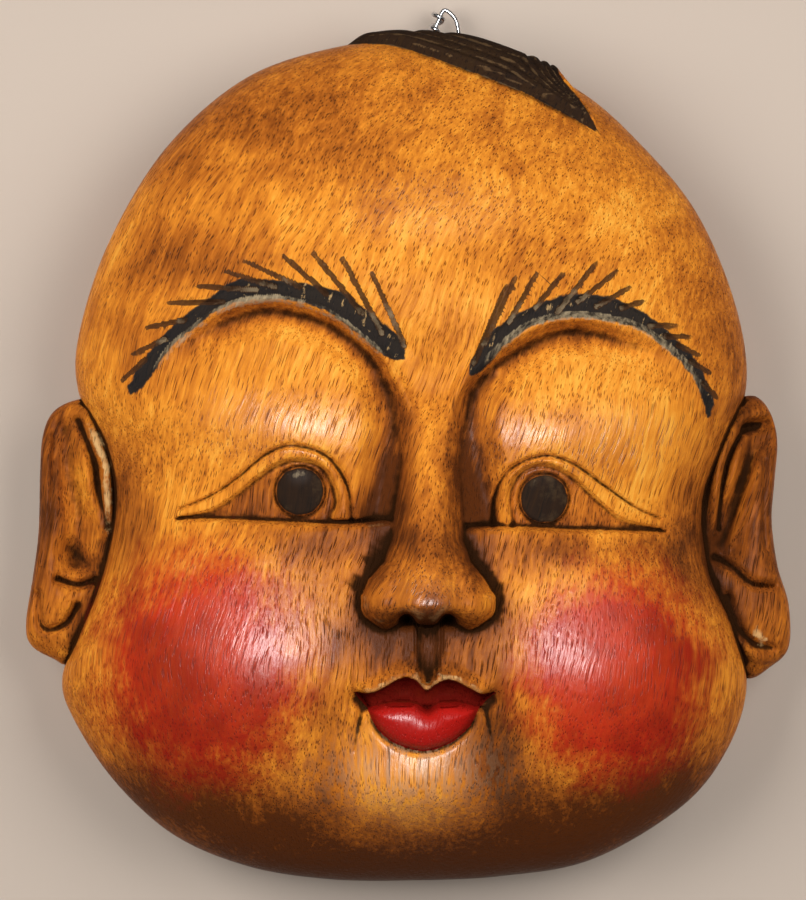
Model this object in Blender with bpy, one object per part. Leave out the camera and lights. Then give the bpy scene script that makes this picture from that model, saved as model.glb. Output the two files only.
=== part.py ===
"""A carved wooden wall mask: the round, smiling face of a bald child with one lock of hair.

Metres, +Z up. The mask lies on the flat rim of its hollow back with its face upwards. +Y runs
from the chin to the top of the head and +X to the viewer's right. The origin is on the back's
plane, under the middle of the whole object.

The carving is laid out in shares of the mask: x and y in UNITs, a 300th of its height, and z in
LIFTs, a 100th of its depth. Walls, rim, holes and wire are real sizes of their own.
"""
import math

import bmesh
import bpy
import numpy as np

# Sizes in metres
MASK_HEIGHT = 0.300
MASK_DEPTH = 0.100
WALL = 0.018
RIM_WIDTH = 0.020
WIRE_DIAMETER = 0.0016
HOLE_DIAMETER = 0.0028
HOLE_SPACING = 0.0105
HOLE_LEVEL = 0.008
HOLE_MIDDLE = 0.0135
LOOP_RISE = 0.0165
LOOP_INSIDE = 0.0050

UNIT = MASK_HEIGHT / 300
LIFT = MASK_DEPTH / 100

# Fineness of the carving
HEAD_GRID = 170
HEAD_TRIANGLES = 6600
EAR_GRID = 34
EAR_TRIANGLES = 520
HOLLOW_GRID = 14

# The hollow's outline: 2 is an ellipse, and more is squarer
HOLLOW_POWER = 3.0
# How far blocks and cutters run on past the back's plane before they are cut flat
BELOW = 5.0

# The head's block: its widest edge lies at EDGE_LEVEL, above it the front domes up to CROWN,
# and below it the side draws in like a quarter of an ellipse
HEAD_MIDDLE = (0.0, -8.0)
EDGE_LEVEL = 26.0
CROWN = 78.0
SIDE_DRAW = 83.0
HEAD_OUTLINE = [
    (4.5, 141), (30, 137), (60, 123.5), (82, 104.5), (102, 80), (115.5, 48), (119.5, 20),
    (112, -2), (105, -22), (106.5, -45), (115, -66), (119.5, -86), (113, -108), (97, -128.5),
    (65, -147.5), (32.5, -153.5), (0, -155), (-28, -154.5), (-56, -150), (-82, -139),
    (-103, -120), (-117.5, -98), (-121.5, -84), (-116, -68), (-107.5, -46), (-104, -22),
    (-107.5, -2), (-116, 18), (-115.5, 38), (-105, 70), (-85, 103), (-57, 127.5), (-25, 138.5),
]

# Broad forms: middle, radii and rise
BULGES = [
    ((-58, -84), (40, 41), 13.0),
    ((64, -86), (39, 41), 13.0),
    ((6, -90), (30, 30), 7.0),
    ((3, -122), (31, 16), 11.0),
    ((4, 66), (62, 40), 4.5),
    ((8, 20), (17, 17), -2.5),
]

# Eyes, from the nose outwards: the hollow's edge under the brow, the lid's two folds, the lower
# line and the pupil
LEFT_EYE = dict(
    hollow=[(-1, -27), (1.5, -12), (2, 4), (-1.2, 13), (-5.5, 22), (-12.5, 32.5),
            (-26.5, 42.5), (-46.5, 47.5), (-63.5, 43.5), (-77.5, 35.5), (-87.5, 25.5),
            (-94.5, 17)],
    inside=1,
    lid=[(-19, -27), (-20.5, -15.5), (-27.5, -5.5), (-39, -2), (-48, -5), (-58.5, -13.5),
         (-68, -19.5), (-78, -23.5)],
    fold=[(-26, -26.5), (-24, -20), (-28.5, -10), (-37, -7), (-46, -9.5), (-58.5, -19),
          (-67, -24), (-78, -26.5)],
    line=[(-5, -27), (-22, -28.5), (-39, -28), (-64.5, -27), (-79, -27)],
    pupil=(-36.5, -17.5),
    mound=(-40, 4),
)
RIGHT_EYE = dict(
    hollow=[(17.5, -27), (14.5, -12), (13.3, 0), (15, 8), (18.5, 16.5), (24.5, 24.5),
            (35, 32.5), (48.5, 39), (62, 40), (79, 35.5), (92.5, 29), (101, 18.5),
            (104.5, 13.5)],
    inside=-1,
    lid=[(29, -29), (30, -18.5), (35, -10), (46, -5.5), (56, -8), (67, -15.5), (78, -23),
         (87, -27)],
    fold=[(35.5, -29), (34.5, -18.5), (38.5, -11), (46, -8.5), (55, -12), (62, -18), (73, -27),
          (87, -30.5)],
    line=[(19, -29.5), (35, -29.5), (56.5, -30.5), (89, -31.5)],
    pupil=(46.5, -20),
    mound=(53, 1),
)
PUPIL_RADIUS = 8.0

# Brows: lower and upper edge from the nose outwards, and the cut hairs from root to tip
LEFT_BROW = dict(
    lower=[(-1, 27.5), (-6.5, 28), (-12.5, 33), (-25.5, 43), (-36.5, 47), (-47.5, 48.5),
           (-61.5, 46), (-74.5, 37.5), (-82, 31), (-89, 20.5), (-95, 15.5)],
    upper=[(-1.5, 32.5), (-6, 37.5), (-15, 44), (-22, 49.5), (-35, 52.5), (-47.5, 54), (-58, 54),
           (-68.5, 47.5), (-81.5, 37.5), (-92, 24.5), (-95.5, 18)],
    hairs=[((-1, 32), (-12, 56.5)), ((-8.5, 36), (-22, 61.5)), ((-15.5, 43), (-32, 63.5)),
           ((-27.5, 49.5), (-42, 62.5)), ((-36.5, 52), (-55.5, 61)), ((-45, 52), (-62, 57.5)),
           ((-51.5, 51), (-71.5, 52.5)), ((-63, 47), (-82, 47)), ((-76, 41), (-89.5, 38.5)),
           ((-83, 34.5), (-94, 29.5)), ((-90, 27.5), (-98, 20.5))],
)
RIGHT_BROW = dict(
    lower=[(21.5, 22.5), (25, 23.5), (30.5, 30), (40.5, 38), (49, 41), (58, 42), (68, 41),
           (79.5, 38), (89, 31.5), (98, 22.5), (104, 8)],
    upper=[(21.5, 26), (27.5, 35), (34, 40.5), (47.5, 47), (55, 49), (63, 49), (73, 47),
           (84.5, 40.5), (97.5, 29), (102, 22), (105.5, 12)],
    hairs=[((22.5, 26), (33.5, 52)), ((26, 32.5), (36.5, 55)), ((34.5, 40), (44, 56.5)),
           ((43.5, 45), (53, 56.5)), ((51, 43.5), (64.5, 60.5)), ((58, 47), (71.5, 57.5)),
           ((64.5, 45.5), (76, 52)), ((73, 45), (80.5, 47.5)), ((83, 39), (92, 39.5)),
           ((88.5, 35.5), (97.5, 35.5)), ((93, 32.5), (100.5, 29)), ((97.5, 27), (104.5, 23)),
           ((102, 19.5), (107, 14.5))],
)

# Nose, from the brows down: its middle line, the half widths to its left and right foot, and how
# far it stands off the face. It turns under at NOSE_TURN
NOSE_Y = [24, 8, -8, -22, -34, -41, -47, -53, -60, -68]
NOSE_X = [8, 8, 7.5, 7, 6.5, 6.5, 6.5, 6.5, 6.5, 6.5]
NOSE_LEFT = [12, 9, 8.5, 10.5, 12.5, 15, 20, 22.5, 22.5, 19.5]
NOSE_RIGHT = [12, 8.5, 9, 11, 13, 15.5, 20, 23.5, 23.5, 20.5]
NOSE_RISE = [0, 2.5, 6, 9.5, 13, 15.5, 18.3, 20, 20, 20]
NOSE_TURN = -54.5
NOSTRILS = [(-0.2, -60.3), (13.6, -60.3)]
GOUGE = [(7.1, -61), (7.1, -73), (6.8, -82.5)]
GOUGE_HALF = 4.4

# Mouth, from left to right
LIP_TOP = [(-18.3, -85.2), (-13, -85.4), (-8.3, -83.6), (-4.2, -81.2), (-0.5, -80),
           (3.2, -81.2), (6.4, -84.3), (9, -82.6), (12.5, -81), (16, -81.2), (21, -83.6),
           (25.5, -85.8), (30.2, -84.8)]
LIP_LINE = [(-13.6, -91), (-8, -89.3), (-2, -88.6), (3, -89.2), (6.8, -91.4), (10.5, -89.2),
            (16, -88.6), (24.5, -90.5)]
LIP_BOTTOM = [(24.5, -90.5), (20.5, -97.5), (14.5, -102.5), (7.5, -105), (2, -104.8),
              (-5, -102.2), (-10.3, -97.5), (-13.6, -91)]
MOUTH_ENDS = [
    ((-15.8, -87.8), [(-15.0, -90), (-16.6, -97), (-18.2, -106)]),
    ((27.4, -87.8), [(26.6, -91), (27.4, -96), (29, -104)]),
]

# Shallow chisel cuts on the left cheek
CHEEK_CUTS = [
    [(-71.7, -43.3), (-77.5, -63)], [(-75.4, -44.3), (-81.6, -64)], [(-80.2, -46), (-86, -65.4)],
]

# Lock of hair: its lower edge from the left tip to the right one, then its upper edge, which
# passes over the head's edge
LOCK_LOWER = [(-21, 139), (-11, 138.5), (-3, 137), (11.5, 131.5), (29.5, 124.5), (41.5, 119.5),
              (54, 113), (62, 108.5), (67, 105.5)]
LOCK_UPPER = [(67, 105.5), (60.5, 117), (53, 128), (50, 142), (5, 156), (-21, 150)]
LOCK_RISE = 3.6
LOCK_STRANDS = 8

# Ears: outline, the scooped hollow's middle line, then cuts and crests as lines with their half
# width and depth or rise
EAR_EDGE_LEVEL = 25.0
EAR_TOP = 37.0
EAR_BACK = 11.0
LEFT_EAR = dict(
    middle=(-112, -32),
    outline=[(-108, 14), (-116, 14.5), (-124.5, 10.5), (-128.5, 2), (-129.5, -12),
             (-130, -32), (-132, -48), (-134.5, -65), (-132.5, -72.5), (-125, -77),
             (-119, -79), (-108, -72), (-96, -56), (-90, -34), (-92, -8), (-98, 8)],
    scoop=[(-120.5, 3), (-119, -12), (-115.5, -28), (-117, -43)],
    cuts=[
        ([(-124, 1.5), (-124.5, -14), (-125.5, -30), (-128, -44)], 1.5, 1.3),
        ([(-115.5, 7), (-112, -1), (-109.5, -8), (-108, -17), (-105, -30)], 2.4, 2.8),
        ([(-122.5, -48.5), (-116, -50.5), (-109.5, -49)], 2.2, 3.6),
        ([(-129.5, -54), (-129, -63.5), (-125.5, -66.5), (-119.5, -64), (-115.5, -58)], 2.2, 2.8),
        ([(-119, -38), (-111, -44)], 5.5, 2.4),
    ],
    crests=[
        ([(-112, 9), (-107.8, -2), (-105.2, -9), (-104.8, -20), (-104.6, -32)], 2.8, 4.0),
        ([(-114, -4), (-112.5, -11), (-111.5, -18), (-110, -26)], 2.2, 2.4),
        ([(-110, -53), (-113.5, -67)], 2.0, 1.8),
        ([(-120, -56), (-118.5, -60)], 2.4, 1.4),
    ],
)
RIGHT_EAR = dict(
    middle=(113, -34),
    outline=[(109, 14), (116, 15), (123, 15.5), (128, 10), (130.5, 0), (129.5, -14),
             (128.5, -28), (130.5, -44), (134.5, -58), (134.5, -73), (128, -80), (119.5, -84),
             (108, -76), (97, -58), (91, -34), (92, -10), (99, 8)],
    scoop=[(123.5, 1), (119, -12), (114.5, -24), (111.5, -37)],
    cuts=[
        ([(119.5, 4.5), (127, 6.5)], 3.4, 5.5),
        ([(118, 4), (112.5, -6.5), (109.8, -19), (109, -31)], 1.6, 3.0),
        ([(108, -41), (114, -44.5), (120.5, -50), (128, -51)], 2.2, 2.8),
        ([(112.5, -55), (115.5, -65), (121, -71), (128, -73)], 2.4, 2.4),
        ([(126, -8), (125, -24), (125.5, -38)], 1.5, 1.2),
    ],
    crests=[
        ([(118, 10), (113.4, 2.3), (109.3, -8), (107.8, -19.5), (107.6, -32)], 2.2, 3.6),
        ([(117, -2), (114.3, -12), (112, -20)], 1.6, 2.8),
        ([(124, -5.5), (121.6, -14), (118, -24.5), (112.5, -38)], 1.8, 3.2),
        ([(113, -56), (115.4, -67.5), (121.5, -75.5), (130, -77)], 1.8, 2.0),
    ],
)


def ease(start, end, value):
    """0 before start, 1 past end and a smooth S between."""
    share = np.clip((value - start) / (end - start), 0, 1)
    return share * share * (3 - 2 * share)


def smooth_curve(points, steps=6, closed=False):
    """Points along a Catmull-Rom curve through the given ones."""
    knots = np.array(points, dtype=float)
    if closed:
        knots = np.vstack([knots[-1], knots, knots[0], knots[1]])
    else:
        knots = np.vstack([2 * knots[0] - knots[1], knots, 2 * knots[-1] - knots[-2]])
    share = np.linspace(0, 1, steps, endpoint=False)[:, None]
    spans = []
    for before, here, there, after in zip(knots[:-3], knots[1:-2], knots[2:-1], knots[3:]):
        bend = 2 * before - 5 * here + 4 * there - after
        twist = 3 * here - before - 3 * there + after
        spans.append(0.5 * (2 * here + (there - before) * share + bend * share**2
                            + twist * share**3))
    return np.vstack(spans + [knots[-2:-1]])


def beside(curve, x, y, reach=400.0):
    """Distance to a line, above zero on its left, and the share of the way along it. Places that
    lie further than the reach outside the line's box count as a reach away."""
    near = ((x > curve[:, 0].min() - reach) & (x < curve[:, 0].max() + reach)
            & (y > curve[:, 1].min() - reach) & (y < curve[:, 1].max() + reach))
    near_x, near_y = x[near], y[near]
    steps = np.diff(curve, axis=0)
    lengths = np.maximum(np.hypot(steps[:, 0], steps[:, 1]), 1e-9)
    starts = np.concatenate([[0], np.cumsum(lengths)])
    nearest = np.full(near_x.shape, 1e9)
    side = np.ones(near_x.shape)
    way = np.zeros(near_x.shape)
    for place, step, length, start in zip(curve[:-1], steps, lengths, starts):
        from_x, from_y = near_x - place[0], near_y - place[1]
        along = np.clip((from_x * step[0] + from_y * step[1]) / length**2, 0, 1)
        gap_x = from_x - along * step[0]
        gap_y = from_y - along * step[1]
        gap = np.hypot(gap_x, gap_y)
        nearer = gap < nearest
        nearest = np.where(nearer, gap, nearest)
        side = np.where(nearer, np.where(step[0] * gap_y >= step[1] * gap_x, 1, -1), side)
        way = np.where(nearer, (start + along * length) / starts[-1], way)
    gaps = np.full(x.shape, reach)
    shares = np.zeros(x.shape)
    gaps[near] = nearest * side
    shares[near] = way
    return gaps, shares


def within(outline, x, y, reach=12.0):
    """Distance from a closed outline's edge, above zero inside it and a reach at most outside."""
    gap, _ = beside(outline, x, y, reach)
    inside = np.zeros(x.shape, dtype=bool)
    for (ax, ay), (bx, by) in zip(outline[:-1], outline[1:]):
        crosses = (ay > y) != (by > y)
        cut = ax + (y - ay) * (bx - ax) / (by - ay if by != ay else 1e-9)
        inside ^= crosses & (x < cut)
    return np.where(inside, np.abs(gap), -np.abs(gap))


def bump(x, y, middle, radii, rise):
    """A soft round rise."""
    return rise * np.exp(-((x - middle[0]) / radii[0])**2 - ((y - middle[1]) / radii[1])**2)


def merge(one, other, blend):
    """The higher of two heights, with a fillet where they meet."""
    share = np.clip(0.5 + 0.5 * (one - other) / blend, 0, 1)
    return other + (one - other) * share + blend * share * (1 - share)


def groove(x, y, line, half_width, depth, taper=0.0):
    """A cut with sloped sides along a line, which thins out towards the line's end."""
    gap, share = beside(line, x, y, half_width)
    left = 1 - taper * share
    width = np.maximum(half_width * left, 0.05)
    return -depth * left * np.clip(1 - np.abs(gap) / width, 0, 1)


def eye_relief(eye, x, y):
    """The hollow under a brow, the lid with its folds, the eyeball and its pupil."""
    gap, share = beside(smooth_curve(eye["hollow"]), x, y)
    gap = gap * eye["inside"]
    line = smooth_curve(eye["line"])
    order = np.argsort(line[:, 0])
    line_y = np.interp(x, line[order, 0], line[order, 1])
    above = ease(-0.6, 1.0, y - line_y)
    outer = eye["hollow"][-1][0]
    strength = ease(outer, outer + 48 * eye["inside"], x)
    slope = 4.2 + 5.8 * ease(16, -6, y)
    fall = ease(-0.8, slope, gap) * (1 - 0.72 * ease(slope, slope + 10, gap))
    deep = 5.4 + 1.0 * ease(14, -24, y)
    relief = -deep * fall * strength * above
    relief += 1.2 * np.exp(-((gap + 1.4) / 1.7)**2) * strength * ease(0.08, 0.2, share)
    relief += bump(x, y, eye["mound"], (27, 16), 3.8) * above
    opening = np.vstack([smooth_curve(eye["fold"]), smooth_curve(eye["line"])[::-1]])
    opening = np.vstack([opening, opening[:1]])
    relief -= 1.9 * ease(-0.3, 0.9, within(opening, x, y))
    relief += groove(x, y, smooth_curve(eye["lid"]), 1.5, 2.3, 0.4)
    relief += groove(x, y, smooth_curve(eye["fold"]), 1.5, 2.0, 0.4)
    relief += groove(x, y, line, 1.5, 2.0, 0.3)
    from_pupil = np.hypot(x - eye["pupil"][0], y - eye["pupil"][1])
    relief += 0.9 * np.sqrt(np.clip(1 - (from_pupil / PUPIL_RADIUS)**2, 0, 1))
    relief -= 1.3 * np.clip(1 - np.abs(from_pupil - PUPIL_RADIUS - 0.6) / 0.9, 0, 1)
    return relief


def brow_relief(brow, x, y):
    """A brow's sunk band, the crest along its lower edge and its cut hairs."""
    lower = smooth_curve(brow["lower"])
    band = np.vstack([lower, smooth_curve(brow["upper"])[::-1], lower[:1]])
    relief = -0.8 * ease(0, 1.2, within(band, x, y))
    for root, tip in brow["hairs"]:
        relief += groove(x, y, np.array([root, tip], dtype=float), 1.3, 1.5, 0.75)
    return relief


def nose_rise(x, y):
    """How far the nose stands off the face: a flat-topped ridge that spreads into the wings and
    turns under at the tip. It is below zero outside the nose."""
    down = [-value for value in NOSE_Y]
    aside = x - np.interp(-y, down, NOSE_X)
    half = np.where(aside < 0, np.interp(-y, down, NOSE_LEFT), np.interp(-y, down, NOSE_RIGHT))
    out = np.abs(aside) / half
    inner = np.minimum(out, 1)
    ridge = 1 - inner**2.4
    wings = np.sqrt(1 - inner**2) * (1 - 0.17 * np.exp(-((inner - 0.5) / 0.2)**2))
    across = ridge + (wings - ridge) * ease(-32, -50, y) - 6 * (out - inner)
    under = 8.2 + 3.6 * np.exp(-((out - 0.68) / 0.24)**2) - 2.2 * np.exp(-((out - 0.3) / 0.12)**2)
    turn = np.maximum(NOSE_TURN - y, 0) / under
    rise = np.interp(-y, down, NOSE_RISE) * (across - turn**2.2)
    return rise - 5 * ease(4, 22, y) - 30 * ease(NOSE_Y[0] - 2, NOSE_Y[0] + 14, y)


def mouth_relief(x, y):
    """The upper lip sunk below its crest, the full lower lip and the pits at the corners."""
    top = smooth_curve(LIP_TOP)
    line = smooth_curve(LIP_LINE)
    upper = np.vstack([top, line[::-1], top[:1]])
    lower = np.vstack([line, smooth_curve(LIP_BOTTOM)])
    over, share = beside(top, x, y, 20)
    ends = ease(0, 0.1, share) * ease(1, 0.9, share)
    relief = 2.2 * np.exp(-((over - 0.6) / 2.6)**2) * ends
    upper_gap = within(upper, x, y)
    relief -= 4.6 * ease(-0.25, 0.9, upper_gap)
    lower_gap = within(lower, x, y)
    swell = 1 - np.clip(1 - lower_gap / 7.5, 0, 1)**2
    relief += np.where(lower_gap > 0, 5.6 * np.sqrt(np.maximum(swell, 0)) - 1.0, 0)
    relief -= 1.6 * np.exp(-(np.minimum(lower_gap, 0) / 1.5)**2) * (y < -90)
    relief += groove(x, y, line, 1.0, 1.6)
    for pit, crease in MOUTH_ENDS:
        relief += bump(x, y, pit, (3.4, 3.0), -4.6)
        relief += groove(x, y, smooth_curve(crease), 2.4, 2.6, 0.8)
    return relief


def broad_relief(x, y):
    """The cheeks, muzzle, chin and forehead as a height over the plain dome."""
    return sum(bump(x, y, middle, radii, rise) for middle, radii, rise in BULGES)


def front_height(x, y, plain, on_front):
    """The carved front's height over a plain dome."""
    broad = plain + broad_relief(x, y) * on_front
    face = broad + cut_relief(x, y) * on_front
    blend = 1.5 + 2.0 * ease(-45, -15, y)
    height = np.where(on_front > 0.5, merge(broad + nose_rise(x, y), face, blend), face)
    for place in NOSTRILS:
        height = height + bump(x, y, place, (2.7, 2.0), -7.0)
    return height


def cut_relief(x, y):
    """The eyes, brows and mouth as cut into the face."""
    relief = np.zeros(x.shape)
    for eye in (LEFT_EYE, RIGHT_EYE):
        relief += eye_relief(eye, x, y)
    for brow in (LEFT_BROW, RIGHT_BROW):
        relief += brow_relief(brow, x, y)
    relief += mouth_relief(x, y)
    gap, share = beside(smooth_curve(GOUGE), x, y, 10)
    width = GOUGE_HALF * np.sqrt(np.maximum(1 - share**3, 0.002))
    relief -= 3.8 * np.sqrt(np.maximum(1 - (gap / width)**2, 0)) * (share < 1)
    for cut in CHEEK_CUTS:
        relief += groove(x, y, np.array(cut, dtype=float), 0.8, 0.6, 0.5)
    return relief


def lock_relief(x, y):
    """How far the lock of hair stands off the head, with the furrows between its strands."""
    lower = smooth_curve(LOCK_LOWER)
    upper = smooth_curve(LOCK_UPPER)
    edge = within(np.vstack([lower, upper, lower[:1]]), x, y)
    from_lower, _ = beside(lower, x, y)
    from_upper, _ = beside(upper, x, y)
    across = np.abs(from_lower) / (np.abs(from_lower) + np.abs(from_upper) + 1e-6)
    strand = 0.5 - 0.5 * np.cos(2 * math.pi * LOCK_STRANDS * across)
    return ease(0, 1.8, edge) * (LOCK_RISE - 0.9 * (1 - strand)**2 * ease(0.5, 4, edge))


def disc_grid(fineness):
    """A square grid bent into a disc: each point's distance from the middle and its angle."""
    steps = np.linspace(-1, 1, 2 * fineness + 1)
    across, up = np.meshgrid(steps, steps)
    reach = np.maximum(np.abs(across), np.abs(up))
    wide = np.abs(across) >= np.abs(up)
    safe = np.where(reach > 0, reach, 1)
    angle = np.where(
        wide,
        math.pi / 4 * up / np.where(across < 0, -safe, safe),
        math.pi / 2 - math.pi / 4 * across / np.where(up < 0, -safe, safe),
    )
    turned = np.where(wide, across < 0, up < 0)
    return reach, angle + math.pi * turned


def radius_at(outline, middle, angle):
    """How far a closed outline lies from its middle in each direction."""
    curve = smooth_curve(outline, 24, closed=True) - np.array(middle)
    return np.interp(angle, np.arctan2(curve[:, 1], curve[:, 0]),
                     np.hypot(curve[:, 0], curve[:, 1]), period=2 * math.pi)


def block_profile(edge, crown, back, power, root, draw, radius):
    """Shares of the radius and heights from the crown over the edge to the back, with the way
    along between them."""
    share = 1 - (1 - np.linspace(0, 1, 400))**3
    front = edge + (crown - edge) * (1 - share**power)**root
    down = np.linspace(edge, back, 60)[1:]
    side = np.sqrt(1 - ((edge - down) / draw)**2)
    shares = np.concatenate([share, side])
    heights = np.concatenate([front, down])
    way = np.concatenate([[0], np.cumsum(np.hypot(np.diff(shares) * radius, np.diff(heights)))])
    return shares, heights, way / way[-1]


def block_points(outline, middle, profile, fineness):
    """A plain block's surface as a grid of points, with each point's share of the radius."""
    shares, heights, way = profile
    reach, angle = disc_grid(fineness)
    share = np.interp(reach, way, shares)
    level = np.interp(reach, way, heights)
    reach_out = share * radius_at(outline, middle, angle)
    x = middle[0] + reach_out * np.cos(angle)
    y = middle[1] + reach_out * np.sin(angle)
    on_front = ease(0, 10, level - profile_edge(profile))
    return x, y, level, on_front


def profile_edge(profile):
    """The height at which a block is widest."""
    return profile[1][np.argmax(profile[0])]


def head_points(fineness):
    """The carved head as a grid of points, in UNITs and LIFTs."""
    profile = block_profile(EDGE_LEVEL, CROWN, -BELOW, 2.5, 0.45, SIDE_DRAW, 130)
    x, y, z, on_front = block_points(HEAD_OUTLINE, HEAD_MIDDLE, profile, fineness)
    plain = np.dstack([x, y, z])
    z = front_height(x, y, z, on_front)
    across = np.gradient(plain, axis=1)
    up = np.gradient(plain, axis=0)
    normal = np.cross(across, up)
    normal /= np.maximum(np.linalg.norm(normal, axis=2, keepdims=True), 1e-9)
    rise = lock_relief(x, y) * ease(9, 16, z)
    return np.dstack([x, y, z]) + normal * rise[:, :, None]


def ear_relief(ear, x, y):
    """An ear's scooped hollow with its cuts and crests."""
    gap, _ = beside(smooth_curve(ear["scoop"]), x, y)
    relief = -5.5 * np.exp(-(gap / 5.5)**2)
    for line, half, depth in ear["cuts"]:
        relief += groove(x, y, smooth_curve(line), half, depth)
    for line, half, rise in ear["crests"]:
        gap, share = beside(smooth_curve(line), x, y, 4 * half)
        relief += rise * np.exp(-(gap / half)**2) * (1 - 0.6 * np.abs(2 * share - 1)**3)
    return relief


def ear_points(ear, fineness):
    """A carved ear as a grid of points, in UNITs and LIFTs."""
    profile = block_profile(EAR_EDGE_LEVEL, EAR_TOP, EAR_BACK, 5.0, 0.4, 28, 30)
    x, y, z, on_front = block_points(ear["outline"], ear["middle"], profile, fineness)
    z = z + ear_relief(ear, x, y) * np.clip(on_front, 0, 1)
    return np.dstack([x, y, z])


def closed_mesh(points):
    """A closed mesh from a grid of points whose border is level: the grid and a flat cap."""
    rows, columns = points.shape[:2]
    mesh = bpy.data.meshes.new("block")
    builder = bmesh.new()
    corners = [builder.verts.new(place) for place in points.reshape(-1, 3)]
    for row in range(rows - 1):
        for column in range(columns - 1):
            first = row * columns + column
            builder.faces.new((corners[first], corners[first + 1],
                               corners[first + columns + 1], corners[first + columns]))
    border = list(range(columns))
    border += [row * columns + columns - 1 for row in range(1, rows)]
    border += [(rows - 1) * columns + column for column in range(columns - 2, -1, -1)]
    border += [row * columns for row in range(rows - 2, 0, -1)]
    builder.faces.new([corners[index] for index in reversed(border)])
    bmesh.ops.triangulate(builder, faces=builder.faces[:])
    builder.to_mesh(mesh)
    builder.free()
    return mesh


def new_object(name, mesh, material=None):
    """An object of the scene with one material."""
    thing = bpy.data.objects.new(name, mesh)
    bpy.context.scene.collection.objects.link(thing)
    if material is not None:
        mesh.materials.append(material)
    return thing


def guide(name, mesh):
    """A helper that shapes another object and isn't part of the model."""
    thing = new_object(name, mesh)
    thing.hide_render = True
    thing.display_type = "WIRE"
    return thing


def carve(thing, triangles):
    """Take a carved block from its shares to its real size, and leave about this many
    triangles, most of them where the surface bends."""
    thing.scale = (UNIT, UNIT, LIFT)
    modifier = thing.modifiers.new("fewer", "DECIMATE")
    modifier.ratio = triangles / len(thing.data.polygons)


def combine(thing, other, operation):
    """Join another object to this one, or cut it away."""
    modifier = thing.modifiers.new(other.name, "BOOLEAN")
    modifier.object = other
    modifier.operation = operation
    modifier.solver = "EXACT"


def painted(name, colour, roughness, metallic=0.0):
    """A plain Principled material."""
    material = bpy.data.materials.new(name)
    material.use_nodes = True
    shader = material.node_tree.nodes["Principled BSDF"]
    shader.inputs["Base Color"].default_value = (*colour, 1)
    shader.inputs["Roughness"].default_value = roughness
    shader.inputs["Metallic"].default_value = metallic
    return material


def hollow_edge(angle):
    """How far the hollow reaches from the head's middle on the back's plane: an oval that
    leaves the rim its width at the top, the bottom and beside the ears."""
    def room(*directions):
        reach = radius_at(HEAD_OUTLINE, HEAD_MIDDLE, np.radians(directions))
        return float(reach.min()) * rear_share() - RIM_WIDTH / UNIT
    wide = room(-8, 0, 180, 188)
    tall = room(90, 270)
    return ((np.abs(np.cos(angle)) / wide)**HOLLOW_POWER
            + (np.abs(np.sin(angle)) / tall)**HOLLOW_POWER)**(-1 / HOLLOW_POWER)


def hollow_points():
    """The hollow behind the face, a wall's width inside the rim and under the crown."""
    reach, angle = disc_grid(HOLLOW_GRID)
    top = CROWN - WALL / LIFT
    mouth = 0.8
    share = np.sin(np.clip(reach / mouth, 0, 1) * math.pi / 2)**0.7
    distance = share * hollow_edge(angle)
    z = top * (1 - share**3.4)**0.36
    z = np.where(reach > mouth, -2 * BELOW * (reach - mouth) / (1 - mouth), z)
    x = HEAD_MIDDLE[0] + distance * np.cos(angle)
    y = HEAD_MIDDLE[1] + distance * np.sin(angle)
    return np.dstack([x, y, z])


def wire_ring(name, places):
    """A closed ring of round wire through the given places."""
    curve = bpy.data.curves.new(name, "CURVE")
    curve.dimensions = "3D"
    curve.bevel_depth = WIRE_DIAMETER / 2
    curve.bevel_resolution = 1
    spline = curve.splines.new("POLY")
    spline.points.add(len(places) - 1)
    for point, place in zip(spline.points, places):
        point.co = (*place, 1)
    spline.use_cyclic_u = True
    return curve


def rear_share():
    """The share of the head's radius that its side draws in to on the back's plane."""
    return math.sqrt(1 - (EDGE_LEVEL / SIDE_DRAW)**2)


def wall_at_wire():
    """Where the wall's outer and inner face lie along Y at the wire's holes."""
    angle = math.atan2(MASK_HEIGHT / 2, HOLE_MIDDLE)
    reach = float(radius_at(HEAD_OUTLINE, HEAD_MIDDLE, np.array([angle]))[0])
    drop = (EDGE_LEVEL - HOLE_LEVEL / LIFT) / SIDE_DRAW
    outer = (HEAD_MIDDLE[1] + reach * math.sqrt(1 - drop**2)) * UNIT
    inner = (HEAD_MIDDLE[1] + float(hollow_edge(np.array([angle]))[0])) * UNIT
    return outer, inner


def wire_places():
    """The wire's middle line: out of one hole, over the top and back through the other."""
    outside, inside = wall_at_wire()
    half = HOLE_SPACING / 2
    left, right = HOLE_MIDDLE - half, HOLE_MIDDLE + half
    turn = inside - LOOP_INSIDE
    middle = (outside + inside) / 2
    knots = [
        (left, inside), (left, middle), (left, outside),
        (left + 0.10 * HOLE_SPACING, outside + 0.45 * LOOP_RISE),
        (left + 0.30 * HOLE_SPACING, outside + 0.80 * LOOP_RISE),
        (HOLE_MIDDLE, outside + LOOP_RISE),
        (right - 0.14 * HOLE_SPACING, outside + 0.80 * LOOP_RISE),
        (right - 0.02 * HOLE_SPACING, outside + 0.42 * LOOP_RISE),
        (right, outside), (right, middle), (right, inside),
        (right - 0.2 * HOLE_SPACING, turn), (left + 0.2 * HOLE_SPACING, turn),
    ]
    line = smooth_curve(knots, 4, closed=True)[:-1]
    return [(x, y, HOLE_LEVEL) for x, y in line]


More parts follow.
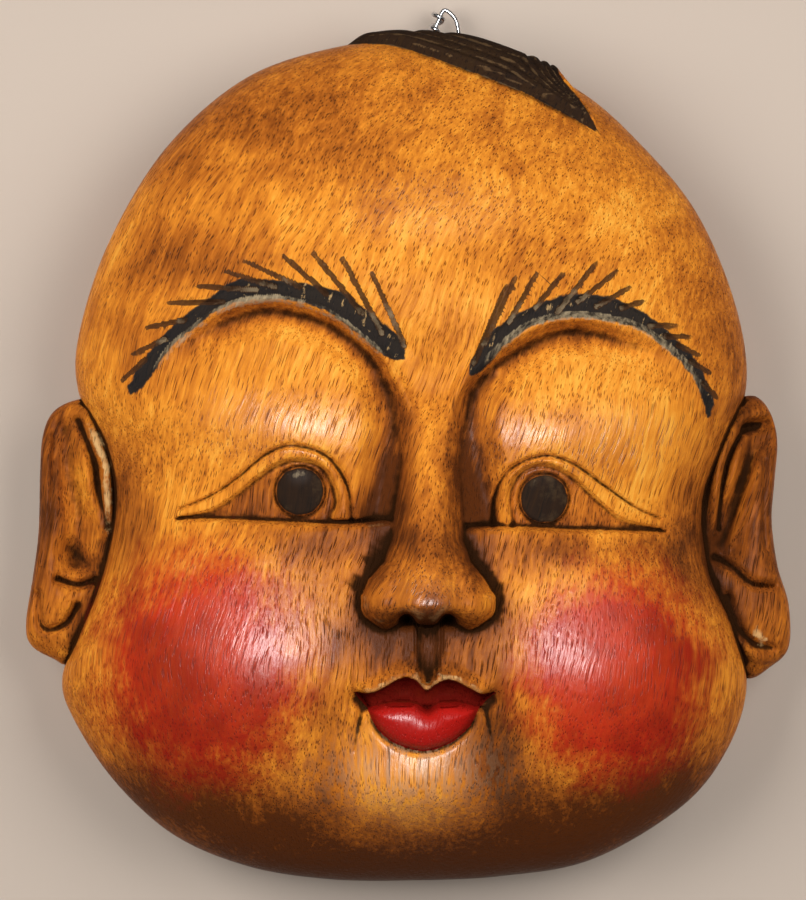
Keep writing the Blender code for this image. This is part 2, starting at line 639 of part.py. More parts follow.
def make_mask(wood):
    """The mask in one piece: head, lock and ears, hollowed and cut flat at the back."""
    mask = new_object("mask", closed_mesh(head_points(HEAD_GRID)), wood)
    carve(mask, HEAD_TRIANGLES)
    for name, ear in (("left_ear_form", LEFT_EAR), ("right_ear_form", RIGHT_EAR)):
        form = guide(name, closed_mesh(ear_points(ear, EAR_GRID)))
        carve(form, EAR_TRIANGLES)
        combine(mask, form, "UNION")
    hollow = guide("hollow_form", closed_mesh(hollow_points()))
    hollow.scale = (UNIT, UNIT, LIFT)
    combine(mask, hollow, "DIFFERENCE")
    slab = bpy.data.meshes.new("slab")
    builder = bmesh.new()
    bmesh.ops.create_cube(builder, size=1)
    for corner in builder.verts:
        corner.co.x *= 2 * MASK_HEIGHT
        corner.co.y *= 2 * MASK_HEIGHT
        corner.co.z = (corner.co.z - 0.5) * MASK_DEPTH
    builder.to_mesh(slab)
    builder.free()
    combine(mask, guide("floor_form", slab), "DIFFERENCE")
    outside, inside = wall_at_wire()
    for side, name in ((-1, "left_hole_form"), (1, "right_hole_form")):
        bore = bpy.data.meshes.new(name)
        builder = bmesh.new()
        bmesh.ops.create_cone(builder, segments=12, radius1=HOLE_DIAMETER / 2,
                              radius2=HOLE_DIAMETER / 2, depth=4 * RIM_WIDTH, cap_ends=True)
        builder.to_mesh(bore)
        builder.free()
        cutter = guide(name, bore)
        cutter.rotation_euler.x = math.pi / 2
        cutter.location = (HOLE_MIDDLE + side * HOLE_SPACING / 2, (outside + inside) / 2,
                           HOLE_LEVEL)
        combine(mask, cutter, "DIFFERENCE")
    return mask


def make_wire(steel):
    """The stiff wire loop that the mask hangs by."""
    curve = wire_ring("hanging_wire", wire_places())
    curve.materials.append(steel)
    thing = bpy.data.objects.new("hanging_wire", curve)
    bpy.context.scene.collection.objects.link(thing)
    return thing


for old in list(bpy.data.objects):
    bpy.data.objects.remove(old)
make_mask(painted("carved_wood", (0.42, 0.19, 0.055), 0.38))
make_wire(painted("bright_wire", (0.72, 0.72, 0.72), 0.3, 1.0))
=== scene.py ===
"""The looks of a carved and painted wooden mask that lies on its back, seen from above."""

import math

import bmesh
import bpy
import numpy as np
from mathutils import Matrix, Vector


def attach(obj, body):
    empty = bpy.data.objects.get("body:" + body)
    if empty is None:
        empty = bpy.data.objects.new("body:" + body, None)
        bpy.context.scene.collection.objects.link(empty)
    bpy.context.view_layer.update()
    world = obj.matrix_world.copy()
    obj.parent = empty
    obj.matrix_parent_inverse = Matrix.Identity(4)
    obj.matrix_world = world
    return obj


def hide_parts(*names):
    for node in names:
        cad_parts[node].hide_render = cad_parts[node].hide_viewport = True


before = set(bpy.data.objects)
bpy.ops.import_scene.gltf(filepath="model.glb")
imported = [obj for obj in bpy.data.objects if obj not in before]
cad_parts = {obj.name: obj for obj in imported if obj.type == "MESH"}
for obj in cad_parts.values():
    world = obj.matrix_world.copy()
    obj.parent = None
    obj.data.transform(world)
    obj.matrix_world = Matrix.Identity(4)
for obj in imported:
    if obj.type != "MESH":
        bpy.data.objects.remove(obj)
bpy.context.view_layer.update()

# Sizes in metres
MASK_HEIGHT = 0.300
MASK_DEPTH = 0.100
WALL = 0.018
RIM_WIDTH = 0.020
WIRE_DIAMETER = 0.0016
HOLE_DIAMETER = 0.0028
HOLE_SPACING = 0.0105
HOLE_LEVEL = 0.008
HOLE_MIDDLE = 0.0135
LOOP_RISE = 0.0165
LOOP_INSIDE = 0.0050

UNIT = MASK_HEIGHT / 300
LIFT = MASK_DEPTH / 100
GROW = Matrix.Scale(1000, 4)

# The wire's end: how far up the left leg it is wound, and how often
WOUND_SHARE = 0.93
WOUND_TURNS = 3.6

# Fineness of the carving
HEAD_GRID = 330
HEAD_TRIANGLES = 150000
EAR_GRID = 100
EAR_TRIANGLES = 11000
HOLLOW_GRID = 40

# The hollow's outline: 2 is an ellipse, and more is squarer
HOLLOW_POWER = 3.0
# How far blocks and cutters run on past the back's plane before they are cut flat
BELOW = 5.0

# The head's block: its widest edge lies at EDGE_LEVEL, above it the front domes up to CROWN,
# and below it the side draws in like a quarter of an ellipse
HEAD_MIDDLE = (0.0, -8.0)
EDGE_LEVEL = 26.0
CROWN = 78.0
SIDE_DRAW = 83.0
HEAD_OUTLINE = [
    (4.5, 141), (30, 137), (60, 123.5), (82, 104.5), (102, 80), (115.5, 48), (119.5, 20),
    (112, -2), (105, -22), (106.5, -45), (115, -66), (119.5, -86), (113, -108), (97, -128.5),
    (65, -147.5), (32.5, -153.5), (0, -155), (-28, -154.5), (-56, -150), (-82, -139),
    (-103, -120), (-117.5, -98), (-121.5, -84), (-116, -68), (-107.5, -46), (-104, -22),
    (-107.5, -2), (-116, 18), (-115.5, 38), (-105, 70), (-85, 103), (-57, 127.5), (-25, 138.5),
]

# Broad forms: middle, radii and rise
BULGES = [
    ((-58, -84), (40, 41), 13.0), ((64, -86), (39, 41), 13.0), ((6, -90), (30, 30), 7.0),
    ((3, -122), (31, 16), 11.0), ((4, 66), (62, 40), 4.5), ((8, 20), (17, 17), -2.5),
]

# Eyes, from the nose outwards: the hollow's edge under the brow, the lid's two folds, the lower
# line and the pupil
LEFT_EYE = dict(
    hollow=[(-1, -27), (1.5, -12), (2, 4), (-1.2, 13), (-5.5, 22), (-12.5, 32.5),
            (-26.5, 42.5), (-46.5, 47.5), (-63.5, 43.5), (-77.5, 35.5), (-87.5, 25.5),
            (-94.5, 17)],
    inside=1,
    lid=[(-19, -27), (-20.5, -15.5), (-27.5, -5.5), (-39, -2), (-48, -5), (-58.5, -13.5),
         (-68, -19.5), (-78, -23.5)],
    fold=[(-26, -26.5), (-24, -20), (-28.5, -10), (-37, -7), (-46, -9.5), (-58.5, -19),
          (-67, -24), (-78, -26.5)],
    line=[(-5, -27), (-22, -28.5), (-39, -28), (-64.5, -27), (-79, -27)],
    pupil=(-36.5, -17.5),
    mound=(-40, 4),
)
RIGHT_EYE = dict(
    hollow=[(17.5, -27), (14.5, -12), (13.3, 0), (15, 8), (18.5, 16.5), (24.5, 24.5),
            (35, 32.5), (48.5, 39), (62, 40), (79, 35.5), (92.5, 29), (101, 18.5),
            (104.5, 13.5)],
    inside=-1,
    lid=[(29, -29), (30, -18.5), (35, -10), (46, -5.5), (56, -8), (67, -15.5), (78, -23),
         (87, -27)],
    fold=[(35.5, -29), (34.5, -18.5), (38.5, -11), (46, -8.5), (55, -12), (62, -18), (73, -27),
          (87, -30.5)],
    line=[(19, -29.5), (35, -29.5), (56.5, -30.5), (89, -31.5)],
    pupil=(46.5, -20),
    mound=(53, 1),
)
EYES = (LEFT_EYE, RIGHT_EYE)
PUPIL_RADIUS = 8.0

# Brows: lower and upper edge from the nose outwards, and the cut hairs from root to tip
LEFT_BROW = dict(
    lower=[(-1, 27.5), (-6.5, 28), (-12.5, 33), (-25.5, 43), (-36.5, 47), (-47.5, 48.5),
           (-61.5, 46), (-74.5, 37.5), (-82, 31), (-89, 20.5), (-95, 15.5)],
    upper=[(-1.5, 32.5), (-6, 37.5), (-15, 44), (-22, 49.5), (-35, 52.5), (-47.5, 54), (-58, 54),
           (-68.5, 47.5), (-81.5, 37.5), (-92, 24.5), (-95.5, 18)],
    hairs=[((-1, 32), (-12, 56.5)), ((-8.5, 36), (-22, 61.5)), ((-15.5, 43), (-32, 63.5)),
           ((-27.5, 49.5), (-42, 62.5)), ((-36.5, 52), (-55.5, 61)), ((-45, 52), (-62, 57.5)),
           ((-51.5, 51), (-71.5, 52.5)), ((-63, 47), (-82, 47)), ((-76, 41), (-89.5, 38.5)),
           ((-83, 34.5), (-94, 29.5)), ((-90, 27.5), (-98, 20.5))],
)
RIGHT_BROW = dict(
    lower=[(21.5, 22.5), (25, 23.5), (30.5, 30), (40.5, 38), (49, 41), (58, 42), (68, 41),
           (79.5, 38), (89, 31.5), (98, 22.5), (104, 8)],
    upper=[(21.5, 26), (27.5, 35), (34, 40.5), (47.5, 47), (55, 49), (63, 49), (73, 47),
           (84.5, 40.5), (97.5, 29), (102, 22), (105.5, 12)],
    hairs=[((22.5, 26), (33.5, 52)), ((26, 32.5), (36.5, 55)), ((34.5, 40), (44, 56.5)),
           ((43.5, 45), (53, 56.5)), ((51, 43.5), (64.5, 60.5)), ((58, 47), (71.5, 57.5)),
           ((64.5, 45.5), (76, 52)), ((73, 45), (80.5, 47.5)), ((83, 39), (92, 39.5)),
           ((88.5, 35.5), (97.5, 35.5)), ((93, 32.5), (100.5, 29)), ((97.5, 27), (104.5, 23)),
           ((102, 19.5), (107, 14.5))],
)
BROWS = (LEFT_BROW, RIGHT_BROW)

# Nose, from the brows down: its middle line, the half widths to its left and right foot, and how
# far it stands off the face. It turns under at NOSE_TURN
NOSE_Y = [24, 8, -8, -22, -34, -41, -47, -53, -60, -68]
NOSE_X = [8, 8, 7.5, 7, 6.5, 6.5, 6.5, 6.5, 6.5, 6.5]
NOSE_LEFT = [12, 9, 8.5, 10.5, 12.5, 15, 20, 22.5, 22.5, 19.5]
NOSE_RIGHT = [12, 8.5, 9, 11, 13, 15.5, 20, 23.5, 23.5, 20.5]
NOSE_RISE = [0, 2.5, 6, 9.5, 13, 15.5, 18.3, 20, 20, 20]
NOSE_TURN = -54.5
NOSTRILS = [(-0.2, -60.3), (13.6, -60.3)]
GOUGE = [(7.1, -61), (7.1, -73), (6.8, -82.5)]
GOUGE_HALF = 4.4

# Mouth, from left to right
LIP_TOP = [(-18.3, -85.2), (-13, -85.4), (-8.3, -83.6), (-4.2, -81.2), (-0.5, -80),
           (3.2, -81.2), (6.4, -84.3), (9, -82.6), (12.5, -81), (16, -81.2), (21, -83.6),
           (25.5, -85.8), (30.2, -84.8)]
LIP_LINE = [(-13.6, -91), (-8, -89.3), (-2, -88.6), (3, -89.2), (6.8, -91.4), (10.5, -89.2),
            (16, -88.6), (24.5, -90.5)]
LIP_BOTTOM = [(24.5, -90.5), (20.5, -97.5), (14.5, -102.5), (7.5, -105), (2, -104.8),
              (-5, -102.2), (-10.3, -97.5), (-13.6, -91)]
MOUTH_ENDS = [
    ((-15.8, -87.8), [(-15.0, -90), (-16.6, -97), (-18.2, -106)]),
    ((27.4, -87.8), [(26.6, -91), (27.4, -96), (29, -104)]),
]

# Shallow chisel cuts on the left cheek
CHEEK_CUTS = [
    [(-71.7, -43.3), (-77.5, -63)], [(-75.4, -44.3), (-81.6, -64)], [(-80.2, -46), (-86, -65.4)],
]

# Lock of hair: its lower edge from the left tip to the right one, then its upper edge, which
# passes over the head's edge
LOCK_LOWER = [(-21, 139), (-11, 138.5), (-3, 137), (11.5, 131.5), (29.5, 124.5), (41.5, 119.5),
              (54, 113), (62, 108.5), (67, 105.5)]
LOCK_UPPER = [(67, 105.5), (60.5, 117), (53, 128), (50, 142), (5, 156), (-21, 150)]
LOCK_RISE = 3.6
LOCK_STRANDS = 8

# Ears: outline, the scooped hollow's middle line, then cuts and crests as lines with their half
# width and depth or rise
EAR_EDGE_LEVEL = 25.0
EAR_TOP = 37.0
EAR_BACK = 11.0
LEFT_EAR = dict(
    middle=(-112, -32),
    outline=[(-108, 14), (-116, 14.5), (-124.5, 10.5), (-128.5, 2), (-129.5, -12),
             (-130, -32), (-132, -48), (-134.5, -65), (-132.5, -72.5), (-125, -77),
             (-119, -79), (-108, -72), (-96, -56), (-90, -34), (-92, -8), (-98, 8)],
    scoop=[(-120.5, 3), (-119, -12), (-115.5, -28), (-117, -43)],
    cuts=[
        ([(-124, 1.5), (-124.5, -14), (-125.5, -30), (-128, -44)], 1.5, 1.3),
        ([(-115.5, 7), (-112, -1), (-109.5, -8), (-108, -17), (-105, -30)], 2.4, 2.8),
        ([(-122.5, -48.5), (-116, -50.5), (-109.5, -49)], 2.2, 3.6),
        ([(-129.5, -54), (-129, -63.5), (-125.5, -66.5), (-119.5, -64), (-115.5, -58)], 2.2, 2.8),
        ([(-119, -38), (-111, -44)], 5.5, 2.4),
    ],
    crests=[
        ([(-112, 9), (-107.8, -2), (-105.2, -9), (-104.8, -20), (-104.6, -32)], 2.8, 4.0),
        ([(-114, -4), (-112.5, -11), (-111.5, -18), (-110, -26)], 2.2, 2.4),
        ([(-110, -53), (-113.5, -67)], 2.0, 1.8),
        ([(-120, -56), (-118.5, -60)], 2.4, 1.4),
    ],
)
RIGHT_EAR = dict(
    middle=(113, -34),
    outline=[(109, 14), (116, 15), (123, 15.5), (128, 10), (130.5, 0), (129.5, -14),
             (128.5, -28), (130.5, -44), (134.5, -58), (134.5, -73), (128, -80), (119.5, -84),
             (108, -76), (97, -58), (91, -34), (92, -10), (99, 8)],
    scoop=[(123.5, 1), (119, -12), (114.5, -24), (111.5, -37)],
    cuts=[
        ([(119.5, 4.5), (127, 6.5)], 3.4, 5.5),
        ([(118, 4), (112.5, -6.5), (109.8, -19), (109, -31)], 1.6, 3.0),
        ([(108, -41), (114, -44.5), (120.5, -50), (128, -51)], 2.2, 2.8),
        ([(112.5, -55), (115.5, -65), (121, -71), (128, -73)], 2.4, 2.4),
        ([(126, -8), (125, -24), (125.5, -38)], 1.5, 1.2),
    ],
    crests=[
        ([(118, 10), (113.4, 2.3), (109.3, -8), (107.8, -19.5), (107.6, -32)], 2.2, 3.6),
        ([(117, -2), (114.3, -12), (112, -20)], 1.6, 2.8),
        ([(124, -5.5), (121.6, -14), (118, -24.5), (112.5, -38)], 1.8, 3.2),
        ([(113, -56), (115.4, -67.5), (121.5, -75.5), (130, -77)], 1.8, 2.0),
    ],
)
EARS = (LEFT_EAR, RIGHT_EAR)

# Rouge on the cheeks: middle and radii
ROUGE = {
    "left_rouge": ((-70, -77), (47, 51)),
    "right_rouge": ((71, -80), (42, 46)),
}

# Fineness of the map that tells hollows from crests, in UNITs
MAP_STEP = 0.7

# Stain rubbed into the wood, with painted shade under and beside the nose and, mixed with stain,
# along the jaw's underside: middle, radii and strength
STAIN_AND_SHADE_PATCHES = [
    ((-100, 62), (10, 24), -0.15), ((118, -20), (9, 14), -0.15), ((-123, -14), (4, 22), 0.28),
    ((127, -14), (4, 22), 0.15), ((11, 40), (10, 10), 0.15), ((9, -27), (6, 8), -0.12),
    ((52, -37), (14, 8), 0.1), ((26, -108), (8, 12), 0.2), ((6, -61), (9, 3.2), 0.3),
    ((-10, -46), (5, 7), 0.25), ((22, -46), (5, 7), 0.28), ((-45, 108), (52, 20), 0.30),
    ((-102, 46), (16, 22), 0.20), ((60, 104), (40, 18), 0.12), ((-80, 78), (20, 22), 0.10),
    ((-72, 60), (30, 9), 0.30), ((-96, 28), (12, 20), 0.22), ((-70, 22), (26, 13), 0.12),
    ((70, 62), (30, 14), 0.10), ((104, 46), (14, 36), 0.16), ((-106, 36), (9, 30), -0.20),
    ((8, 24), (14, 14), 0.10), ((-16, -66), (12, 12), 0.16), ((30, -98), (12, 16), 0.20),
    ((113, -18), (7, 18), -0.16), ((-8, -12), (7, 26), 0.45), ((-12, -24), (11, 9), 0.55),
    ((22, -22), (9, 20), 0.55), ((30, -2), (8, 20), 0.22), ((-22, -34), (26, 7), 0.42),
    ((52, -38), (40, 9), 0.40), ((-96, -30), (12, 26), 0.28), ((98, -34), (13, 30), 0.34),
    ((20, -64), (22, 9), 0.42), ((-8, -66), (18, 9), 0.36), ((-2, -76), (15, 8), 0.34),
    ((22, -76), (14, 8), 0.36), ((-27, -104), (9, 20), 0.36), ((34, -104), (11, 24), 0.42),
    ((-86, -120), (36, 20), 0.46), ((-44, -136), (32, 17), 0.50), ((4, -152), (60, 13), 0.85),
    ((48, -133), (34, 17), 0.56), ((6, -125), (20, 8), -0.22), ((90, -120), (28, 22), 0.46),
    ((-129, -25), (6, 44), 0.32), ((-116, -22), (5, 15), -0.34), ((121, -32), (11, 48), 0.32),
    ((7, -57), (13, 8), 0.22), ((7, -30), (13, 24), 0.26), ((8, 14), (14, 18), 0.10),
    ((-36, -42), (28, 10), 0.18), ((7, -73), (5, 9), 0.35), ((-20, -64), (12, 16), 0.20),
    ((-72, -128), (34, 14), 0.22), ((74, -124), (34, 16), 0.22),
]

# Edges worn pale, the scraped place under the mouth and, with their middles and radii, the places
# where the lacquer is polished; the small one on the left pupil also sets a painted highlight
WORN_EDGES = [
    [(-112, 8), (-107.8, -2), (-105.2, -9), (-104.8, -20), (-104.6, -32)],
    [(121, -64), (125, -72)],
]
SCRAPED = ((0, -113), (24, 12))
POLISH_AND_GLINT_PLACES = [
    ((-57, -70), (29, 28)), ((63, -70), (23, 26)), ((-46, 4), (28, 13)), ((58, 0), (30, 13)),
    ((3, -113), (28, 15)), ((6, -51), (11, 8)), ((-37, -12), (4, 3)), ((10, 80), (30, 12)),
    ((-2, -96), (8, 5)),
]

# Colours from the lightest to the darkest stain; the darker ones also serve as painted shade
WOOD = [
    (0.0, (0.80, 0.36, 0.048)), (0.25, (0.68, 0.235, 0.022)), (0.5, (0.45, 0.130, 0.014)),
    (0.75, (0.24, 0.062, 0.009)), (1.0, (0.095, 0.025, 0.006)),
]
UMBER = (0.020, 0.008, 0.003)
WORN = (0.74, 0.46, 0.19)
SCRAPED_WOOD = (0.50, 0.29, 0.15)
PALE = (0.42, 0.32, 0.19)
ROUGE_RED = (0.46, 0.016, 0.008)
ROUGE_DARK = (0.28, 0.010, 0.006)
LIP_RED = (0.38, 0.009, 0.006)
# A darker lip red for painted shade: on the upper lip, where it is partly dirt, and at the lower
# lip's edges
SHADED_LIP_RED = (0.11, 0.005, 0.003)
BROW_BLACK = (0.014, 0.015, 0.015)
HAIR_BROWN = (0.05, 0.022, 0.010)
SOOT = (0.012, 0.010, 0.008)
LOCK_BROWN = (0.10, 0.062, 0.030)
BARE_LIGHT = (0.42, 0.22, 0.09)
BARE_DARK = (0.24, 0.11, 0.04)
WIRE_LIGHT = (0.78, 0.79, 0.8)
WIRE_DARK = (0.5, 0.5, 0.52)
FLOOR_COLOUR = (0.49, 0.405, 0.335)

# The grain: its lean to the right at Y = 0, how much more it leans for each metre up, the cells
# that each hold one pore, and how many cells' widths a cell is long
GRAIN_LEAN = 0.29
GRAIN_BEND = 1.07
PORE_CELLS = 1800
PORE_LENGTH = 20.0
# The forehead's pores are short and stout, from here to here up the mask in metres
SHORT_PORES_FROM = (0.02, 0.06)
SHORT_PORE_CELLS = 1450
SHORT_PORE_LENGTH = 4.5

# The lights: name, place, width, power and whether it gives the shine, and where they aim
LIGHTS = [
    ("left_light", (-0.66, 0.18, 0.85), 0.75, 11.2, False),
    ("right_light", (0.58, 0.18, 0.85), 0.75, 9.4, False),
    ("shine_light", (0.0, 0.06, 1.5), 0.3, 24, True),
]
LIGHTS_AIM = (0, 0, 0.03)
WORLD_COLOUR = (1, 0.97, 0.93, 1)
WORLD_STRENGTH = 0.05

# The camera
CAMERA_HEIGHT = 1.3
CAMERA_X = -0.0015
CAMERA_Y = -0.0034
VIEW_HEIGHT = 0.3176
SENSOR = 36


def ease(start, end, value):
    """0 before start, 1 past end and a smooth S between."""
    share = np.clip((value - start) / (end - start), 0, 1)
    return share * share * (3 - 2 * share)


def smooth_curve(points, steps=6, closed=False):
    """Points along a Catmull-Rom curve through the given ones."""
    knots = np.array(points, dtype=float)
    if closed:
        knots = np.vstack([knots[-1], knots, knots[0], knots[1]])
    else:
        knots = np.vstack([2 * knots[0] - knots[1], knots, 2 * knots[-1] - knots[-2]])
    share = np.linspace(0, 1, steps, endpoint=False)[:, None]
    spans = []
    for before, here, there, after in zip(knots[:-3], knots[1:-2], knots[2:-1], knots[3:]):
        bend = 2 * before - 5 * here + 4 * there - after
        twist = 3 * here - before - 3 * there + after
        spans.append(0.5 * (2 * here + (there - before) * share + bend * share**2
                            + twist * share**3))
    return np.vstack(spans + [knots[-2:-1]])


def beside(curve, x, y, reach=400.0):
    """Distance to a line, above zero on its left, and the share of the way along it. Places that
    lie further than the reach outside the line's box count as a reach away."""
    curve = np.asarray(curve, dtype=float)
    near = ((x > curve[:, 0].min() - reach) & (x < curve[:, 0].max() + reach)
            & (y > curve[:, 1].min() - reach) & (y < curve[:, 1].max() + reach))
    near_x, near_y = x[near], y[near]
    steps = np.diff(curve, axis=0)
    lengths = np.maximum(np.hypot(steps[:, 0], steps[:, 1]), 1e-9)
    starts = np.concatenate([[0], np.cumsum(lengths)])
    nearest = np.full(near_x.shape, 1e9)
    side = np.ones(near_x.shape)
    way = np.zeros(near_x.shape)
    for place, step, length, start in zip(curve[:-1], steps, lengths, starts):
        from_x, from_y = near_x - place[0], near_y - place[1]
        along = np.clip((from_x * step[0] + from_y * step[1]) / length**2, 0, 1)
        gap_x = from_x - along * step[0]
        gap_y = from_y - along * step[1]
        gap = np.hypot(gap_x, gap_y)
        nearer = gap < nearest
        nearest = np.where(nearer, gap, nearest)
        side = np.where(nearer, np.where(step[0] * gap_y >= step[1] * gap_x, 1, -1), side)
        way = np.where(nearer, (start + along * length) / starts[-1], way)
    gaps = np.full(x.shape, reach)
    shares = np.zeros(x.shape)
    gaps[near] = nearest * side
    shares[near] = way
    return gaps, shares


def ring(*lines):
    """One closed outline from lines that follow each other."""
    return np.vstack([*lines, lines[0][:1]])


def within(outline, x, y, reach=12.0):
    """Distance from a closed outline's edge, above zero inside it and a reach at most outside."""
    gap, _ = beside(outline, x, y, reach)
    inside = np.zeros(x.shape, dtype=bool)
    for (ax, ay), (bx, by) in zip(outline[:-1], outline[1:]):
        crosses = (ay > y) != (by > y)
        cut = ax + (y - ay) * (bx - ax) / (by - ay if by != ay else 1e-9)
        inside ^= crosses & (x < cut)
    return np.where(inside, np.abs(gap), -np.abs(gap))


def bump(x, y, middle, radii, rise):
    """A soft round rise."""
    return rise * np.exp(-((x - middle[0]) / radii[0])**2 - ((y - middle[1]) / radii[1])**2)


def merge(one, other, blend):
    """The higher of two heights, with a fillet where they meet."""
    share = np.clip(0.5 + 0.5 * (one - other) / blend, 0, 1)
    return other + (one - other) * share + blend * share * (1 - share)


def groove(x, y, line, half_width, depth, taper=0.0):
    """A cut with sloped sides along a line, which thins out towards the line's end."""
    gap, share = beside(line, x, y, half_width)
    left = 1 - taper * share
    width = np.maximum(half_width * left, 0.05)
    return -depth * left * np.clip(1 - np.abs(gap) / width, 0, 1)


def eye_opening(eye):
    """The outline between a lid's inner fold and the lower line."""
    return ring(smooth_curve(eye["fold"]), smooth_curve(eye["line"])[::-1])


def brow_band(brow):
    """A brow's outline."""
    return ring(smooth_curve(brow["lower"]), smooth_curve(brow["upper"])[::-1])


def ear_outline(ear):
    """An ear's outline."""
    return smooth_curve(ear["outline"] + ear["outline"][:1])


def lock_place(x, y):
    """How far inside the lock each place is, and its share of the way across from the lower
    edge."""
    lower, upper = smooth_curve(LOCK_LOWER), smooth_curve(LOCK_UPPER)
    from_lower = np.abs(beside(lower, x, y)[0])
    from_upper = np.abs(beside(upper, x, y)[0])
    return within(ring(lower, upper), x, y), from_lower / (from_lower + from_upper + 1e-6)


def socket_place(eye, x, y, fade):
    """How far inside a socket's edge each place is, the share of the way along the edge, and how
    strong the socket is there: it fades to its outer end."""
    gap, share = beside(smooth_curve(eye["hollow"]), x, y)
    outer = eye["hollow"][-1][0]
    return gap * eye["inside"], share, ease(outer, outer + fade * eye["inside"], x)


def from_pupil(eye, x, y):
    """The distance from a pupil's middle."""
    return np.hypot(x - eye["pupil"][0], y - eye["pupil"][1])


def eye_relief(eye, x, y):
    """The hollow under a brow, the lid with its folds, the eyeball and its pupil."""
    gap, share, strength = socket_place(eye, x, y, 48)
    line = smooth_curve(eye["line"])
    order = np.argsort(line[:, 0])
    line_y = np.interp(x, line[order, 0], line[order, 1])
    above = ease(-0.6, 1.0, y - line_y)
    slope = 4.2 + 5.8 * ease(16, -6, y)
    fall = ease(-0.8, slope, gap) * (1 - 0.72 * ease(slope, slope + 10, gap))
    deep = 5.4 + 1.0 * ease(14, -24, y)
    relief = -deep * fall * strength * above
    relief += 1.2 * np.exp(-((gap + 1.4) / 1.7)**2) * strength * ease(0.08, 0.2, share)
    relief += bump(x, y, eye["mound"], (27, 16), 3.8) * above
    relief -= 1.9 * ease(-0.3, 0.9, within(eye_opening(eye), x, y))
    relief += groove(x, y, smooth_curve(eye["lid"]), 1.5, 2.3, 0.4)
    relief += groove(x, y, smooth_curve(eye["fold"]), 1.5, 2.0, 0.4)
    relief += groove(x, y, line, 1.5, 2.0, 0.3)
    away = from_pupil(eye, x, y)
    relief += 0.9 * np.sqrt(np.clip(1 - (away / PUPIL_RADIUS)**2, 0, 1))
    relief -= 1.3 * np.clip(1 - np.abs(away - PUPIL_RADIUS - 0.6) / 0.9, 0, 1)
    return relief


def brow_relief(brow, x, y):
    """A brow's sunk band and its cut hairs."""
    relief = -0.8 * ease(0, 1.2, within(brow_band(brow), x, y))
    for root, tip in brow["hairs"]:
        relief += groove(x, y, [root, tip], 1.3, 1.5, 0.75)
    return relief


def nose_rise(x, y):
    """How far the nose stands off the face: a flat-topped ridge that spreads into the wings and
    turns under at the tip. It is below zero outside the nose."""
    down = [-value for value in NOSE_Y]
    aside = x - np.interp(-y, down, NOSE_X)
    half = np.where(aside < 0, np.interp(-y, down, NOSE_LEFT), np.interp(-y, down, NOSE_RIGHT))
    out = np.abs(aside) / half
    inner = np.minimum(out, 1)
    ridge = 1 - inner**2.4
    wings = np.sqrt(1 - inner**2) * (1 - 0.17 * np.exp(-((inner - 0.5) / 0.2)**2))
    across = ridge + (wings - ridge) * ease(-32, -50, y) - 6 * (out - inner)
    under = 8.2 + 3.6 * np.exp(-((out - 0.68) / 0.24)**2) - 2.2 * np.exp(-((out - 0.3) / 0.12)**2)
    turn = np.maximum(NOSE_TURN - y, 0) / under
    rise = np.interp(-y, down, NOSE_RISE) * (across - turn**2.2)
    return rise - 5 * ease(4, 22, y) - 30 * ease(NOSE_Y[0] - 2, NOSE_Y[0] + 14, y)


def mouth_relief(x, y):
    """The upper lip sunk below its crest, the full lower lip and the pits at the corners."""
    top = smooth_curve(LIP_TOP)
    line = smooth_curve(LIP_LINE)
    upper = ring(top, line[::-1])
    lower = np.vstack([line, smooth_curve(LIP_BOTTOM)])
    over, share = beside(top, x, y, 20)
    ends = ease(0, 0.1, share) * ease(1, 0.9, share)
    relief = 2.2 * np.exp(-((over - 0.6) / 2.6)**2) * ends
    upper_gap = within(upper, x, y)
    relief -= 4.6 * ease(-0.25, 0.9, upper_gap)
    lower_gap = within(lower, x, y)
    swell = 1 - np.clip(1 - lower_gap / 7.5, 0, 1)**2
    relief += np.where(lower_gap > 0, 5.6 * np.sqrt(np.maximum(swell, 0)) - 1.0, 0)
    relief -= 1.6 * np.exp(-(np.minimum(lower_gap, 0) / 1.5)**2) * (y < -90)
    relief += groove(x, y, line, 1.0, 1.6)
    for pit, crease in MOUTH_ENDS:
        relief += bump(x, y, pit, (3.4, 3.0), -4.6)
        relief += groove(x, y, smooth_curve(crease), 2.4, 2.6, 0.8)
    return relief


def front_height(x, y, plain, on_front):
    """The carved front's height over a plain dome."""
    broad = plain + sum(bump(x, y, *bulge) for bulge in BULGES) * on_front
    face = broad + cut_relief(x, y) * on_front
    blend = 1.5 + 2.0 * ease(-45, -15, y)
    height = np.where(on_front > 0.5, merge(broad + nose_rise(x, y), face, blend), face)
    for place in NOSTRILS:
        height = height + bump(x, y, place, (2.7, 2.0), -7.0)
    return height


def cut_relief(x, y):
    """The eyes, brows and mouth as cut into the face."""
    relief = np.zeros(x.shape)
    for eye in EYES:
        relief += eye_relief(eye, x, y)
    for brow in BROWS:
        relief += brow_relief(brow, x, y)
    relief += mouth_relief(x, y)
    gap, share = beside(smooth_curve(GOUGE), x, y, 10)
    width = GOUGE_HALF * np.sqrt(np.maximum(1 - share**3, 0.002))
    relief -= 3.8 * np.sqrt(np.maximum(1 - (gap / width)**2, 0)) * (share < 1)
    for cut in CHEEK_CUTS:
        relief += groove(x, y, cut, 0.8, 0.6, 0.5)
    return relief


def lock_relief(x, y):
    """How far the lock of hair stands off the head, with the furrows between its strands."""
    edge, across = lock_place(x, y)
    strand = 0.5 - 0.5 * np.cos(2 * math.pi * LOCK_STRANDS * across)
    return ease(0, 1.8, edge) * (LOCK_RISE - 0.9 * (1 - strand)**2 * ease(0.5, 4, edge))


